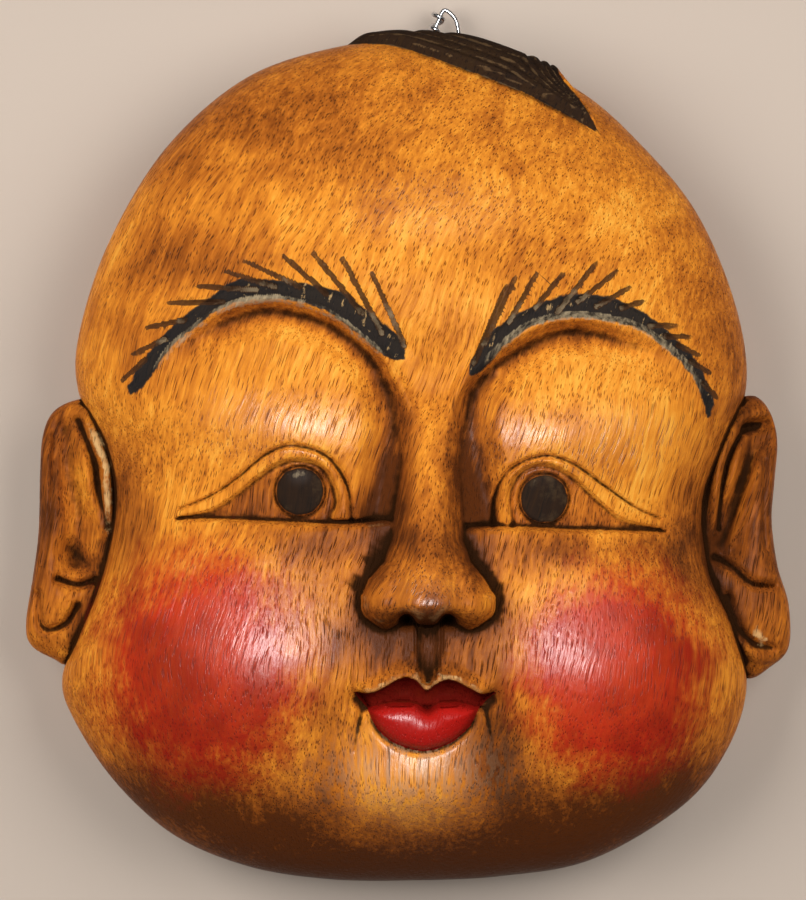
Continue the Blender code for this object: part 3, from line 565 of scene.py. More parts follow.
def disc_grid(fineness):
    """A square grid bent into a disc: each point's distance from the middle and its angle."""
    steps = np.linspace(-1, 1, 2 * fineness + 1)
    across, up = np.meshgrid(steps, steps)
    reach = np.maximum(np.abs(across), np.abs(up))
    wide = np.abs(across) >= np.abs(up)
    safe = np.where(reach > 0, reach, 1)
    angle = np.where(
        wide,
        math.pi / 4 * up / np.where(across < 0, -safe, safe),
        math.pi / 2 - math.pi / 4 * across / np.where(up < 0, -safe, safe),
    )
    turned = np.where(wide, across < 0, up < 0)
    return reach, angle + math.pi * turned


def radius_at(outline, middle, angle):
    """How far a closed outline lies from its middle in each direction."""
    curve = smooth_curve(outline, 24, closed=True) - np.array(middle)
    return np.interp(angle, np.arctan2(curve[:, 1], curve[:, 0]),
                     np.hypot(curve[:, 0], curve[:, 1]), period=2 * math.pi)


def block_profile(edge, crown, back, power, root, draw, radius):
    """Shares of the radius and heights from the crown over the edge to the back, with the way
    along between them."""
    share = 1 - (1 - np.linspace(0, 1, 400))**3
    front = edge + (crown - edge) * (1 - share**power)**root
    down = np.linspace(edge, back, 60)[1:]
    side = np.sqrt(1 - ((edge - down) / draw)**2)
    shares = np.concatenate([share, side])
    heights = np.concatenate([front, down])
    way = np.concatenate([[0], np.cumsum(np.hypot(np.diff(shares) * radius, np.diff(heights)))])
    return shares, heights, way / way[-1]


def block_points(outline, middle, profile, fineness):
    """A plain block's surface as a grid of points, with each point's share of the radius."""
    shares, heights, way = profile
    reach, angle = disc_grid(fineness)
    share = np.interp(reach, way, shares)
    level = np.interp(reach, way, heights)
    reach_out = share * radius_at(outline, middle, angle)
    x = middle[0] + reach_out * np.cos(angle)
    y = middle[1] + reach_out * np.sin(angle)
    on_front = ease(0, 10, level - heights[np.argmax(shares)])
    return x, y, level, on_front


def head_points(fineness):
    """The carved head as a grid of points, in UNITs and LIFTs."""
    profile = block_profile(EDGE_LEVEL, CROWN, -BELOW, 2.5, 0.45, SIDE_DRAW, 130)
    x, y, z, on_front = block_points(HEAD_OUTLINE, HEAD_MIDDLE, profile, fineness)
    plain = np.dstack([x, y, z])
    z = front_height(x, y, z, on_front)
    normal = np.cross(np.gradient(plain, axis=1), np.gradient(plain, axis=0))
    normal /= np.maximum(np.linalg.norm(normal, axis=2, keepdims=True), 1e-9)
    rise = lock_relief(x, y) * ease(9, 16, z)
    return np.dstack([x, y, z]) + normal * rise[:, :, None]


def ear_relief(ear, x, y):
    """An ear's scooped hollow with its cuts and crests."""
    gap, _ = beside(smooth_curve(ear["scoop"]), x, y)
    relief = -5.5 * np.exp(-(gap / 5.5)**2)
    for line, half, depth in ear["cuts"]:
        relief += groove(x, y, smooth_curve(line), half, depth)
    for line, half, rise in ear["crests"]:
        gap, share = beside(smooth_curve(line), x, y, 4 * half)
        relief += rise * np.exp(-(gap / half)**2) * (1 - 0.6 * np.abs(2 * share - 1)**3)
    return relief


def ear_points(ear, fineness):
    """A carved ear as a grid of points, in UNITs and LIFTs."""
    profile = block_profile(EAR_EDGE_LEVEL, EAR_TOP, EAR_BACK, 5.0, 0.4, 28, 30)
    x, y, z, on_front = block_points(ear["outline"], ear["middle"], profile, fineness)
    z = z + ear_relief(ear, x, y) * np.clip(on_front, 0, 1)
    return np.dstack([x, y, z])


def hollow_edge(angle):
    """How far the hollow reaches from the head's middle on the back's plane: an oval that
    leaves the rim its width at the top, the bottom and beside the ears."""
    def room(*directions):
        reach = radius_at(HEAD_OUTLINE, HEAD_MIDDLE, np.radians(directions))
        return float(reach.min()) * rear_share() - RIM_WIDTH / UNIT
    wide = room(-8, 0, 180, 188)
    tall = room(90, 270)
    return ((np.abs(np.cos(angle)) / wide)**HOLLOW_POWER
            + (np.abs(np.sin(angle)) / tall)**HOLLOW_POWER)**(-1 / HOLLOW_POWER)


def hollow_points():
    """The hollow behind the face, a wall's width under the crown."""
    reach, angle = disc_grid(HOLLOW_GRID)
    top = CROWN - WALL / LIFT
    mouth = 0.8
    share = np.sin(np.clip(reach / mouth, 0, 1) * math.pi / 2)**0.7
    distance = share * hollow_edge(angle)
    z = top * (1 - share**3.4)**0.36
    z = np.where(reach > mouth, -2 * BELOW * (reach - mouth) / (1 - mouth), z)
    x = HEAD_MIDDLE[0] + distance * np.cos(angle)
    y = HEAD_MIDDLE[1] + distance * np.sin(angle)
    return np.dstack([x, y, z])


def rear_share():
    """The share of the head's radius that its side draws in to on the back's plane."""
    return math.sqrt(1 - (EDGE_LEVEL / SIDE_DRAW)**2)


def wall_at_wire():
    """Where the wall's outer and inner face lie along Y at the wire's holes."""
    angle = math.atan2(MASK_HEIGHT / 2, HOLE_MIDDLE)
    reach = float(radius_at(HEAD_OUTLINE, HEAD_MIDDLE, np.array([angle]))[0])
    drop = (EDGE_LEVEL - HOLE_LEVEL / LIFT) / SIDE_DRAW
    outer = (HEAD_MIDDLE[1] + reach * math.sqrt(1 - drop**2)) * UNIT
    inner = (HEAD_MIDDLE[1] + float(hollow_edge(np.array([angle]))[0])) * UNIT
    return outer, inner


def wire_places():
    """The wire's middle line: out of one hole, over the top and back through the other."""
    outside, inside = wall_at_wire()
    half = HOLE_SPACING / 2
    left, right = HOLE_MIDDLE - half, HOLE_MIDDLE + half
    turn = inside - LOOP_INSIDE
    middle = (outside + inside) / 2
    knots = [
        (left, inside), (left, middle), (left, outside),
        (left + 0.10 * HOLE_SPACING, outside + 0.45 * LOOP_RISE),
        (left + 0.30 * HOLE_SPACING, outside + 0.80 * LOOP_RISE),
        (HOLE_MIDDLE, outside + LOOP_RISE),
        (right - 0.14 * HOLE_SPACING, outside + 0.80 * LOOP_RISE),
        (right - 0.02 * HOLE_SPACING, outside + 0.42 * LOOP_RISE),
        (right, outside), (right, middle), (right, inside),
        (right - 0.2 * HOLE_SPACING, turn), (left + 0.2 * HOLE_SPACING, turn),
    ]
    line = smooth_curve(knots, 4, closed=True)[:-1]
    return [(x, y, HOLE_LEVEL) for x, y in line]


# Objects and modifiers

def closed_mesh(name, points):
    """A closed mesh from a grid of points whose border is level: the grid and a flat cap."""
    rows, columns = points.shape[:2]
    index = np.arange(rows * columns).reshape(rows, columns)
    faces = np.stack([index[:-1, :-1], index[:-1, 1:], index[1:, 1:], index[1:, :-1]], axis=-1)
    border = np.concatenate([index[0], index[1:, -1], index[-1, -2::-1], index[-2:0:-1, 0]])
    mesh = bpy.data.meshes.new(name)
    faces = faces.reshape(-1, 4).tolist() + [border[::-1].tolist()]
    mesh.from_pydata((points * (UNIT, UNIT, LIFT)).reshape(-1, 3).tolist(), [], faces)
    return mesh


def add_object(name, data):
    """An object of the scene."""
    thing = bpy.data.objects.new(name, data)
    bpy.context.scene.collection.objects.link(thing)
    return thing


def apply_modifiers(thing):
    """Turn an object's modifiers into its own mesh."""
    evaluated = thing.evaluated_get(bpy.context.evaluated_depsgraph_get())
    mesh = bpy.data.meshes.new_from_object(evaluated)
    thing.modifiers.clear()
    thing.data = mesh


def thin_out(thing, triangles):
    """Leave about this many triangles, most of them where the surface bends."""
    modifier = thing.modifiers.new("fewer", "DECIMATE")
    modifier.ratio = triangles / (2 * len(thing.data.polygons))
    thing.data.transform(GROW)
    apply_modifiers(thing)
    thing.data.transform(GROW.inverted())


def combine(thing, other, operation):
    """Join another object to this one, or cut it away, and drop the other."""
    modifier = thing.modifiers.new(other.name, "BOOLEAN")
    modifier.object = other
    modifier.operation = operation
    modifier.solver = "MANIFOLD"
    apply_modifiers(thing)
    bpy.data.objects.remove(other)


def all_faces(mesh, slot):
    """Give every face one material slot."""
    mesh.polygons.foreach_set("material_index", [slot] * len(mesh.polygons))


def give_materials(thing, *materials):
    """Add materials to an object."""
    for material in materials:
        thing.data.materials.append(material)


def plain_cutter(name, create, place, **sizes):
    """A cube or cylinder, moved into place."""
    form = bmesh.new()
    create(form, **sizes)
    mesh = bpy.data.meshes.new(name)
    form.to_mesh(mesh)
    form.free()
    mesh.transform(place)
    return add_object(name, mesh)


def carved_mask(front, back):
    """The mask in one piece, with the front's and the back's materials."""
    mask = add_object("carved_mask", closed_mesh("carved_mask", head_points(HEAD_GRID)))
    thin_out(mask, HEAD_TRIANGLES)
    give_materials(mask, front, back)
    for ear, name in zip(EARS, ("left_ear", "right_ear")):
        form = add_object(name, closed_mesh(name, ear_points(ear, EAR_GRID)))
        thin_out(form, EAR_TRIANGLES)
        give_materials(form, front, back)
        combine(mask, form, "UNION")
    hollow = add_object("hollow", closed_mesh("hollow", hollow_points()))
    below = Matrix.Translation((0, 0, -MASK_DEPTH / 2))
    below @= Matrix.Diagonal((2 * MASK_HEIGHT, 2 * MASK_HEIGHT, MASK_DEPTH, 1))
    cutters = [hollow, plain_cutter("slab", bmesh.ops.create_cube, below, size=1)]
    middle = sum(wall_at_wire()) / 2
    for side, name in ((-1, "left_hole"), (1, "right_hole")):
        place = Matrix.Translation((HOLE_MIDDLE + side * HOLE_SPACING / 2, middle, HOLE_LEVEL))
        place @= Matrix.Rotation(math.pi / 2, 4, "X")
        cutters.append(plain_cutter(name, bmesh.ops.create_cone, place, segments=24,
                                    radius1=HOLE_DIAMETER / 2, radius2=HOLE_DIAMETER / 2,
                                    depth=4 * RIM_WIDTH, cap_ends=True))
    for cutter in cutters:
        give_materials(cutter, front, back)
        all_faces(cutter.data, 1)
        combine(mask, cutter, "DIFFERENCE")
    mask.data.shade_smooth()
    mask.data.set_sharp_from_angle(angle=math.radians(60))
    return mask


# Masks for the paint, one value for each point of the mesh

def head_share(x, y):
    """The share of the head's radius at each place: 1 on its outline."""
    angle = np.arctan2(y - HEAD_MIDDLE[1], x - HEAD_MIDDLE[0])
    reach = np.hypot(x - HEAD_MIDDLE[0], y - HEAD_MIDDLE[1])
    return reach / radius_at(HEAD_OUTLINE, HEAD_MIDDLE, angle)


def front_map(step):
    """The height of the front on an even grid, for telling hollows from crests."""
    across = np.arange(-140, 140, step)
    up = np.arange(-160, 150, step)
    x, y = np.meshgrid(across, up)
    share = np.clip(head_share(x, y), 0, 1)
    plain = EDGE_LEVEL + (CROWN - EDGE_LEVEL) * (1 - share**2.5)**0.45
    height = front_height(x, y, plain, ease(0, 10, plain - EDGE_LEVEL))
    height = np.where(head_share(x, y) < 1, height + lock_relief(x, y), 0)
    for ear in EARS:
        inside = within(ear_outline(ear), x, y)
        level = EAR_EDGE_LEVEL + (EAR_TOP - EAR_EDGE_LEVEL) * ease(0, 4, inside)
        level = level + ear_relief(ear, x, y) * ease(0, 3, inside)
        height = np.where(inside > 0, np.maximum(height, level), height)
    return across, up, np.maximum(height, EDGE_LEVEL)


def blurred(height, reach):
    """A map smoothed over a distance in cells."""
    cells = np.arange(-int(3 * reach), int(3 * reach) + 1)
    weights = np.exp(-0.5 * (cells / reach)**2)
    weights /= weights.sum()
    pad = len(weights) // 2
    for axis in (0, 1):
        padding = [(pad, pad) if side == axis else (0, 0) for side in (0, 1)]
        height = np.apply_along_axis(np.convolve, axis, np.pad(height, padding, "edge"),
                                     weights, "valid")
    return height


def read_map(across, up, height, x, y):
    """A map's value at each place."""
    step = across[1] - across[0]
    column = np.clip((x - across[0]) / step, 0, len(across) - 1.001)
    row = np.clip((y - up[0]) / step, 0, len(up) - 1.001)
    left, low = column.astype(int), row.astype(int)
    right_share, up_share = column - left, row - low
    lower = height[low, left] * (1 - right_share) + height[low, left + 1] * right_share
    upper = height[low + 1, left] * (1 - right_share) + height[low + 1, left + 1] * right_share
    return lower * (1 - up_share) + upper * up_share


def highest(values):
    """The highest of several values at each place."""
    return np.maximum.reduce(list(values))


def paint_masks(mesh):
    """Store on each point how deep it lies and how far it is inside each painted area."""
    places = np.empty(len(mesh.vertices) * 3, dtype=np.float32)
    mesh.vertices.foreach_get("co", places)
    x, y, z = (places.reshape(-1, 3) / (UNIT, UNIT, LIFT)).T.astype(float)
    across, up, height = front_map(MAP_STEP)
    upper, bottom = smooth_curve(LIP_TOP), smooth_curve(LIP_BOTTOM)
    # Along each brow's lower edge: a pale line that is a painted highlight on the crest, partly
    # worn wood
    brow_edge_highlight_and_wear = np.zeros(x.shape)
    for brow in BROWS:
        gap, share = beside(smooth_curve(brow["lower"]), x, y, 6)
        brow_edge_highlight_and_wear += np.exp(-((gap - 0.5) / 1.0)**2) * ease(0, 0.1, share) * ease(1, 0.85, share)
    worn = np.zeros(x.shape)
    for edge in WORN_EDGES:
        gap, share = beside(smooth_curve(edge), x, y, 8)
        ends = ease(0, 0.25, share) * ease(1, 0.75, share)
        worn = np.maximum(worn, np.exp(-(gap / 1.4)**2) * (0.45 + 0.55 * ends))
    gap, share = beside(upper, x, y, 12)
    ends = ease(0.03, 0.15, share) * ease(0.97, 0.85, share)
    worn = np.maximum(worn, 0.85 * np.exp(-((gap - 0.6) / 0.55)**2) * ends)
    # A band in each socket under the brow, darkened as painted shade
    socket_shade = np.zeros(x.shape)
    for eye in EYES:
        gap, _, fade = socket_place(eye, x, y, 40)
        socket_shade += np.exp(-((gap - 2.2) / 4.2)**2) * fade * ease(-28, -20, y)
    hairs = []
    for root, tip in LEFT_BROW["hairs"] + RIGHT_BROW["hairs"]:
        gap, share = beside([root, tip], x, y, 5)
        hairs.append(0.75 - 0.45 * share - np.abs(gap))
    in_lock, across_lock = lock_place(x, y)
    ears = highest(within(ear_outline(ear), x, y) for ear in EARS)
    outward = head_share(x, y)
    open_air = np.where(outward > 1, ease(0, 5, ears), ease(1.0, 0.985, outward))
    open_air = np.maximum(open_air, (outward <= 1) * ease(-1, 1, ears))
    open_air = open_air * ease(EAR_BACK + 1, EAR_BACK + 4, z)
    # How much lower than its surroundings each place lies; the paint darkens it as painted shade,
    # partly stain rubbed into the carving
    cavity = read_map(across, up, blurred(height, 1.8 / MAP_STEP) - height, x, y)
    # Deeper still in the creases and pits at the mouth's corners, for their painted shade
    for pit, crease in MOUTH_ENDS:
        gap, share = beside(smooth_curve(crease), x, y, 8)
        cavity += 0.45 * np.exp(-(gap / 0.8)**2) * ease(0.95, 0.3, share)
        cavity += bump(x, y, pit, (2.4, 2.2), 1.2)
    # The same over a wider reach, for the browner broad hollows: painted shade, partly stain
    broad_cavity = read_map(across, up, blurred(height, 6 / MAP_STEP) - height, x, y)
    masks = {
        "polish_and_glint": highest(bump(x, y, *place, 1.0) for place in POLISH_AND_GLINT_PLACES),
        "worn": worn,
        "brow_edge_highlight_and_wear": brow_edge_highlight_and_wear,
        "scraped": bump(x, y, *SCRAPED, 1.0),
        "cavity": cavity * open_air,
        "broad_cavity": broad_cavity * open_air,
        "stain_and_shade": sum(bump(x, y, *stain_and_shade) for stain_and_shade in STAIN_AND_SHADE_PATCHES) + 0.32 * socket_shade,
        "lips": within(ring(upper, bottom), x, y),
        "lower_lip": within(np.vstack([smooth_curve(LIP_LINE), bottom]), x, y),
        "openings": highest(within(eye_opening(eye), x, y) for eye in EYES),
        "brows": highest(within(brow_band(brow), x, y) for brow in BROWS),
        "hairs": highest(hairs),
        "pupils": highest(PUPIL_RADIUS - from_pupil(eye, x, y) for eye in EYES),
        "lock": np.where(z > EAR_BACK, in_lock, -5.0),
        "strand": np.cos(2 * math.pi * LOCK_STRANDS * across_lock),
        "outward": outward,
    }
    for name, (middle, radii) in ROUGE.items():
        masks[name] = 1 - np.hypot((x - middle[0]) / radii[0], (y - middle[1]) / radii[1])
    for name, values in masks.items():
        layer = mesh.attributes.new(name, "FLOAT", "POINT")
        layer.data.foreach_set("value", values.astype(np.float32))


# Materials

class Paint:
    """A material whose nodes are wired up by short calls."""

    def __init__(self, name):
        self.material = bpy.data.materials.new(name)
        self.material.use_nodes = True
        self.nodes = self.material.node_tree.nodes
        self.shader = self.nodes["Principled BSDF"]
        self.place = self.nodes.new("ShaderNodeTexCoord").outputs["Object"]

    def feed(self, socket, value):
        """Set a socket to a number or colour, or link it to another node's output."""
        if isinstance(value, bpy.types.NodeSocket):
            self.material.node_tree.links.new(value, socket)
        elif isinstance(value, tuple) and len(value) == 3 and socket.type == "RGBA":
            socket.default_value = (*value, 1)
        else:
            socket.default_value = value

    def node(self, kind, values):
        """A new node with its inputs fed."""
        node = self.nodes.new("ShaderNode" + kind)
        for socket, value in values.items():
            self.feed(node.inputs[socket], value)
        return node

    def look(self, **values):
        """Feed the shader's own inputs, whose names are given with _ for a space."""
        for name, value in values.items():
            self.feed(self.shader.inputs[name.replace("_", " ")], value)

    def mask(self, name):
        """A value stored on the mesh."""
        node = self.node("Attribute", {})
        node.attribute_name = name
        return node.outputs["Fac"]

    def math(self, operation, one, other=0.0):
        """A math node's result."""
        node = self.node("Math", {0: one, 1: other})
        node.operation = operation
        return node.outputs[0]

    def times(self, one, other):
        """One value times another."""
        return self.math("MULTIPLY", one, other)

    def total(self, *values):
        """The values added up."""
        result = values[0]
        for value in values[1:]:
            result = self.math("ADD", result, value)
        return result

    def about(self, noise, amount):
        """Noise moved to about 0 and made this many times stronger."""
        return self.times(self.math("SUBTRACT", noise, 0.5), amount)

    def step(self, value, low, high, first=0.0, last=1.0):
        """A smooth rise from first to last as the value goes from low to high."""
        node = self.node("MapRange", {"Value": value, "From Min": low, "From Max": high,
                                      "To Min": first, "To Max": last})
        node.interpolation_type = "SMOOTHSTEP"
        return node.outputs["Result"]

    def along_grain(self, stretch):
        """The place with the grain straightened out along Y and Y's differences made smaller."""
        x, y, z = self.node("SeparateXYZ", {0: self.place}).outputs
        wander = self.about(self.noise(22, 2), 0.012)
        lean = self.total(self.times(y, GRAIN_BEND), GRAIN_LEAN)
        straight = self.math("SUBTRACT", x, self.times(lean, y))
        straight = self.total(straight, wander)
        level = self.math("DIVIDE", y, stretch)
        return self.node("CombineXYZ", {0: straight, 1: level, 2: z}).outputs[0]

    def noise(self, scale, detail=3.0, place=None, roughness=0.55):
        """Soft noise about 0.5."""
        return self.node("TexNoise", {"Vector": place or self.place, "Scale": scale,
                                      "Detail": detail, "Roughness": roughness}).outputs["Fac"]

    def cells(self, scale, place):
        """The distance to the nearest of many scattered points, and a number for each."""
        node = self.node("TexVoronoi", {"Vector": place, "Scale": scale})
        split = self.node("SeparateColor", {0: node.outputs["Color"]})
        return node.outputs["Distance"], split.outputs[0]

    def blend(self, share, one, other):
        """A mix of two colours."""
        node = self.nodes.new("ShaderNodeMix")
        node.data_type = "RGBA"
        for socket, value in (("Factor", share), ("A", one), ("B", other)):
            self.feed(node.inputs[socket], value)
        return node.outputs["Result"]

    def ramp(self, value, stops):
        """A colour read from stops along a value."""
        node = self.node("ValToRGB", {0: value})
        for number, (place, colour) in enumerate(stops):
            marks = node.color_ramp.elements
            mark = marks[number] if number < 2 else marks.new(place)
            mark.position = place
            mark.color = (*colour, 1)
        return node.outputs[0]

    def bump(self, height, distance, strength):
        """Feed a height to the shader's normal."""
        values = {"Distance": distance, "Strength": strength, "Height": height}
        self.look(Normal=self.node("Bump", values).outputs[0])


def wood_pores(paint, cells=PORE_CELLS, length=PORE_LENGTH):
    """Dark pores that run along the grain: flecks where the surface follows it, and dots where
    it crosses it."""
    distance, chance = paint.cells(cells, paint.along_grain(length))
    size = paint.step(chance, 0.0, 1.0, 0.2, 0.52)
    return paint.step(paint.math("DIVIDE", distance, size), 1.0, 0.3)


def mask_paint():
    """Stained and lacquered wood with its painted brows, lock, eyes, lips and cheeks."""
    paint = Paint("carved_wood")
    mask, step, blend = paint.mask, paint.step, paint.blend
    times, total, about = paint.times, paint.total, paint.about
    _, up, _ = paint.node("SeparateXYZ", {0: paint.place}).outputs
    on_brow = step(up, *SHORT_PORES_FROM)
    short = times(wood_pores(paint, SHORT_PORE_CELLS, SHORT_PORE_LENGTH), on_brow)
    away = paint.math("SUBTRACT", 1.0, on_brow)
    pores = total(short, times(wood_pores(paint), away))
    cavity = mask("cavity")
    cloud = paint.noise(18, 5, roughness=0.6)
    blotch = paint.noise(75, 5, roughness=0.62)
    fine = paint.noise(300, 3)
    streak = paint.noise(620, 4, paint.along_grain(12), 0.6)
    long_streak = paint.noise(140, 3, paint.along_grain(14))

    # The wood's tone: golden in the open, brown towards the edges, in the eye openings and in the
    # stain patches, some of which are painted shade; browner in the broad hollows and near black
    # in the creases, as painted shade partly from stain in the carving
    near_edge = step(mask("outward"), 0.78, 1.0, 0.0, 0.15)
    beyond = step(mask("outward"), 0.985, 1.01, 0.0, 0.12)
    # Browner in the broad hollows: painted shade, partly stain
    hollows = step(mask("broad_cavity"), 0.3, 4.0, 0.0, 0.4)
    eyes = step(mask("openings"), -0.3, 1.5, 0.0, 0.3)
    shade = total(0.25, near_edge, beyond, hollows, eyes, mask("stain_and_shade"),
                  about(cloud, 0.75), about(blotch, 0.55), about(streak, 0.95),
                  about(long_streak, 0.4), times(pores, 0.3))
    colour = paint.ramp(shade, WOOD)
    # Near black in the creases, grooves and pits: painted shade, partly stain rubbed into the
    # carving
    crevice_shade = step(total(cavity, about(fine, 0.9)), 0.2, 1.05, 0.0, 0.93)
    colour = blend(crevice_shade, colour, UMBER)
    worn_place = total(cavity, about(blotch, -1.5), about(fine, -1.2))
    crest = step(worn_place, -1.2, -2.2, 0.0, 0.25)
    crest = times(crest, step(mask("outward"), 0.9, 0.84))
    colour = blend(crest, colour, WORN)
    worn = total(mask("worn"), about(fine, 1.2), about(blotch, 1.2))
    colour = blend(step(worn, 0.5, 1.1, 0.0, 0.75), colour, WORN)
    scraped = times(mask("scraped"), step(streak, 0.42, 0.56))
    colour = blend(times(scraped, 0.6), colour, SCRAPED_WOOD)

    # The cheeks' red, rubbed on thinly with a ragged edge
    for name in ROUGE:
        edge = total(mask(name), about(streak, 0.3), about(blotch, 0.55))
        deep = step(total(cloud, about(blotch, 0.6)), 0.35, 0.7)
        red = blend(deep, ROUGE_RED, ROUGE_DARK)
        colour = blend(step(edge, 0.0, 0.5, 0.0, 0.92), colour, red)
    colour = blend(times(pores, 0.4), colour, UMBER)

    # Solid paint: lips, brows, pupils and the lock, each with a slightly uneven edge
    def painted(name, tone, low, high, amount, rag=0.9):
        edge = total(mask(name), about(fine, rag))
        return blend(step(edge, low, high, 0.0, amount), colour, tone)

    # The whole mouth in the darker red, painted shade on the upper lip partly from dirt; then the
    # lower lip in red that darkens towards its edges as painted shade
    colour = painted("lips", SHADED_LIP_RED, -0.15, 0.15, 0.97)
    rim = step(total(mask("lower_lip"), about(blotch, 3.0)), 3.0, 0.2, 0.0, 0.6)
    red = blend(rim, LIP_RED, SHADED_LIP_RED)
    colour = painted("lower_lip", red, -0.25, 0.15, 0.98)
    worn = blend(step(total(streak, about(fine, 0.8)), 0.66, 0.78, 0.0, 0.5), BROW_BLACK, WORN)
    colour = painted("brows", worn, -0.9, -0.1, 0.985, 2.4)
    # A pale line along each brow's lower edge: painted highlight on the crest, partly worn wood
    edge = total(mask("brow_edge_highlight_and_wear"), about(streak, 1.4), about(blotch, 1.2))
    colour = blend(step(edge, 0.5, 1.2, 0.0, 0.75), colour, PALE)
    core = total(mask("hairs"), about(blotch, 1.6))
    cut = blend(step(core, 0.6, 0.95, 0.0, 0.5), HAIR_BROWN, PALE)
    colour = painted("hairs", cut, 0.0, 0.35, 0.9, 0.6)
    pupil = blend(step(blotch, 0.52, 0.7, 0.0, 0.5), SOOT, LOCK_BROWN)
    # A pale painted highlight on the left pupil, broken up by streaks
    pupil_glint = total(mask("polish_and_glint"), about(streak, 1.5), about(fine, 1.5))
    pupil = blend(step(pupil_glint, 0.7, 1.3, 0.0, 0.6), pupil, PALE)
    colour = painted("pupils", pupil, -0.2, 0.2, 0.97)
    rubbed = total(mask("strand"), about(fine, 2.2), about(blotch, 2.0))
    rubbed = blend(step(rubbed, 0.55, 1.2, 0.0, 0.8), SOOT, LOCK_BROWN)
    colour = painted("lock", rubbed, -0.2, 0.3, 0.97)
    paint.look(Base_Color=colour)
    black = step(mask("pupils"), -0.2, 0.2)
    for name in ("lock", "brows"):
        black = paint.math("MAXIMUM", black, step(mask(name), -0.2, 0.3))
    dull = paint.math("MAXIMUM", crevice_shade, times(black, 0.8))
    paint.look(Roughness=total(0.31, about(fine, 0.15), times(pores, 0.2), times(dull, 0.3)))
    shine = step(mask("polish_and_glint"), 0.05, 0.9, 0.02, 0.46)
    paint.look(Specular_IOR_Level=times(shine, step(dull, 0.0, 1.0, 1.0, 0.15)))
    relief = total(about(streak, 2.0), about(fine, 0.6), times(pores, -1))
    bare = step(mask("pupils"), 0.3, -0.3, 0.15, 1.0)
    paint.bump(times(relief, bare), 0.0003, 0.6)
    return paint.material


def back_paint():
    """Bare, roughly gouged wood behind the face."""
    paint = Paint("bare_wood")
    pores = wood_pores(paint)
    streak = paint.noise(90, 3, paint.along_grain(10))
    cloud = paint.noise(14, 4)
    colour = paint.blend(paint.step(cloud, 0.3, 0.7), BARE_LIGHT, BARE_DARK)
    colour = paint.blend(paint.times(streak, 0.5), colour, BARE_DARK)
    colour = paint.blend(paint.times(pores, 0.5), colour, UMBER)
    paint.look(Base_Color=colour)
    paint.look(Roughness=paint.step(cloud, 0.2, 0.8, 0.6, 0.8))
    gouges, _ = paint.cells(70, paint.along_grain(2.5))
    relief = paint.total(gouges, paint.times(pores, -0.2))
    paint.bump(relief, 0.0012, 0.6)
    return paint.material


def wire_paint():
    """Bright drawn wire with faint marks."""
    paint = Paint("bright_wire")
    cloud = paint.noise(900, 3)
    colour = paint.blend(paint.step(cloud, 0.35, 0.7), WIRE_LIGHT, WIRE_DARK)
    paint.look(Base_Color=colour, Metallic=1.0)
    paint.look(Roughness=paint.step(cloud, 0.3, 0.7, 0.2, 0.38))
    paint.bump(cloud, 0.00005, 0.4)
    return paint.material


def floor_paint():
    """A plain pale floor."""
    paint = Paint("pale_floor")
    paint.look(Base_Color=FLOOR_COLOUR, Roughness=0.9)
    return paint.material


# The wire

def wound_end(places):
    """The wire's other end, wound round the loop's left leg and cut off short of the top."""
    line = np.array(places)
    outside, _ = wall_at_wire()
    leg = line[(line[:, 0] < HOLE_MIDDLE) & (line[:, 1] > outside - WIRE_DIAMETER)]
    leg = leg[np.argsort(leg[:, 1])]
    share = np.linspace(0, WOUND_SHARE, 60)
    y = leg[0, 1] + share * LOOP_RISE
    x = np.interp(y, leg[:, 1], leg[:, 0])
    turn = 2 * math.pi * WOUND_TURNS * share / WOUND_SHARE
    out = WIRE_DIAMETER * (1.0 + 0.9 * ease(0.9 * WOUND_SHARE, WOUND_SHARE, share))
    return list(zip(x + out * np.cos(turn), y, HOLE_LEVEL + out * np.sin(turn)))


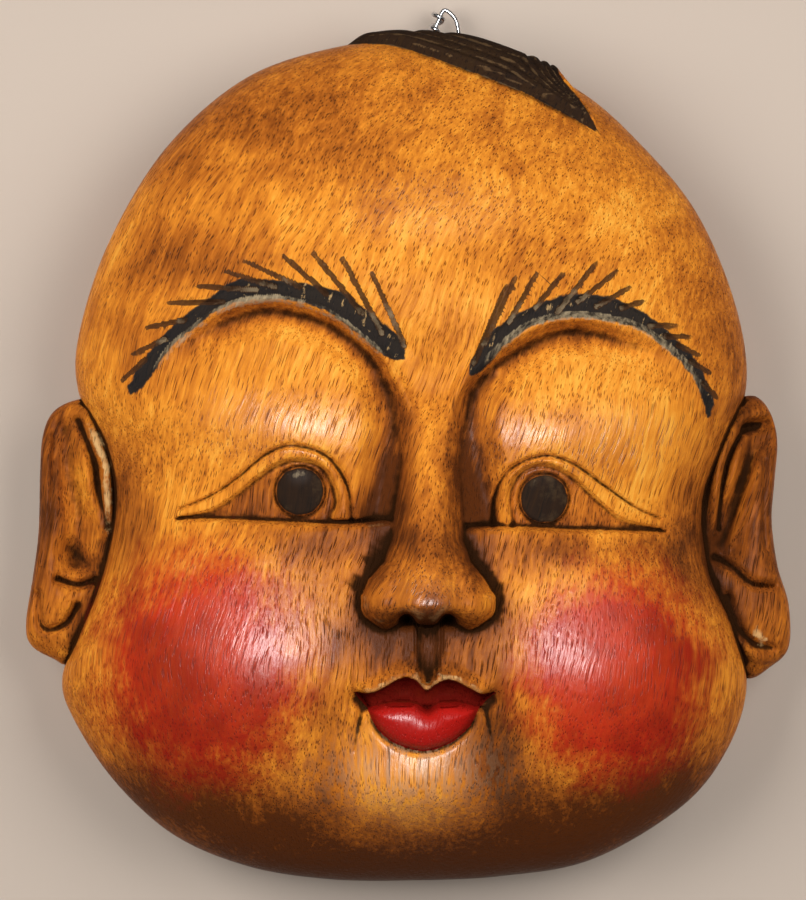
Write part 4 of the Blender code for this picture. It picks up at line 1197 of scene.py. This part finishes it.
def wire_object(name, places, material, closed):
    """A round wire along a line of places."""
    curve = bpy.data.curves.new(name, "CURVE")
    curve.dimensions = "3D"
    curve.bevel_depth = WIRE_DIAMETER / 2
    curve.bevel_resolution = 4
    curve.use_fill_caps = True
    spline = curve.splines.new("POLY")
    spline.points.add(len(places) - 1)
    for point, place in zip(spline.points, places):
        point.co = (*place, 1)
    spline.use_cyclic_u = closed
    curve.materials.append(material)
    return add_object(name, curve)


# Camera, floor and light

def set_camera():
    """A camera straight over the mask, as far off and as long as the photograph's."""
    camera = bpy.data.cameras.new("camera")
    camera.sensor_width = SENSOR
    camera.lens = SENSOR * (CAMERA_HEIGHT - EDGE_LEVEL * LIFT) / VIEW_HEIGHT
    camera.clip_start = 0.05
    camera.clip_end = 20
    thing = add_object("camera", camera)
    thing.location = (CAMERA_X, CAMERA_Y, CAMERA_HEIGHT)
    bpy.context.scene.camera = thing


def add_light(name, place, size, power, gloss):
    """A soft square light aimed at the mask that gives either all the shine or none of it."""
    light = bpy.data.lights.new(name, "AREA")
    light.shape = "SQUARE"
    light.size = size
    light.energy = power
    thing = add_object(name, light)
    thing.location = place
    aim = Vector(LIGHTS_AIM) - Vector(place)
    thing.rotation_euler = aim.to_track_quat("-Z", "Y").to_euler()
    thing.visible_glossy = gloss
    thing.visible_diffuse = not gloss


def set_stage():
    """A pale floor, soft studio lights and a faint even light all round."""
    mesh = bpy.data.meshes.new("floor")
    mesh.from_pydata([(-3, -3, 0), (3, -3, 0), (3, 3, 0), (-3, 3, 0)], [], [(0, 1, 2, 3)])
    mesh.materials.append(floor_paint())
    floor = add_object("floor", mesh)
    for light in LIGHTS:
        add_light(*light)
    world = bpy.data.worlds.new("world")
    world.use_nodes = True
    background = world.node_tree.nodes["Background"]
    background.inputs["Color"].default_value = WORLD_COLOUR
    background.inputs["Strength"].default_value = WORLD_STRENGTH
    bpy.context.scene.world = world
    bpy.context.scene.view_settings.view_transform = "Standard"


mask = carved_mask(mask_paint(), back_paint())
paint_masks(mask.data)
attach(mask, "root")
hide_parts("mask")
metal = wire_paint()
for name, places, closed in (("wire_loop", wire_places(), True),
                             ("wire_end", wound_end(wire_places()), False)):
    wire = wire_object(name, places, metal, closed)
    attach(wire, "root")
    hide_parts("hanging_wire")
set_stage()
set_camera()
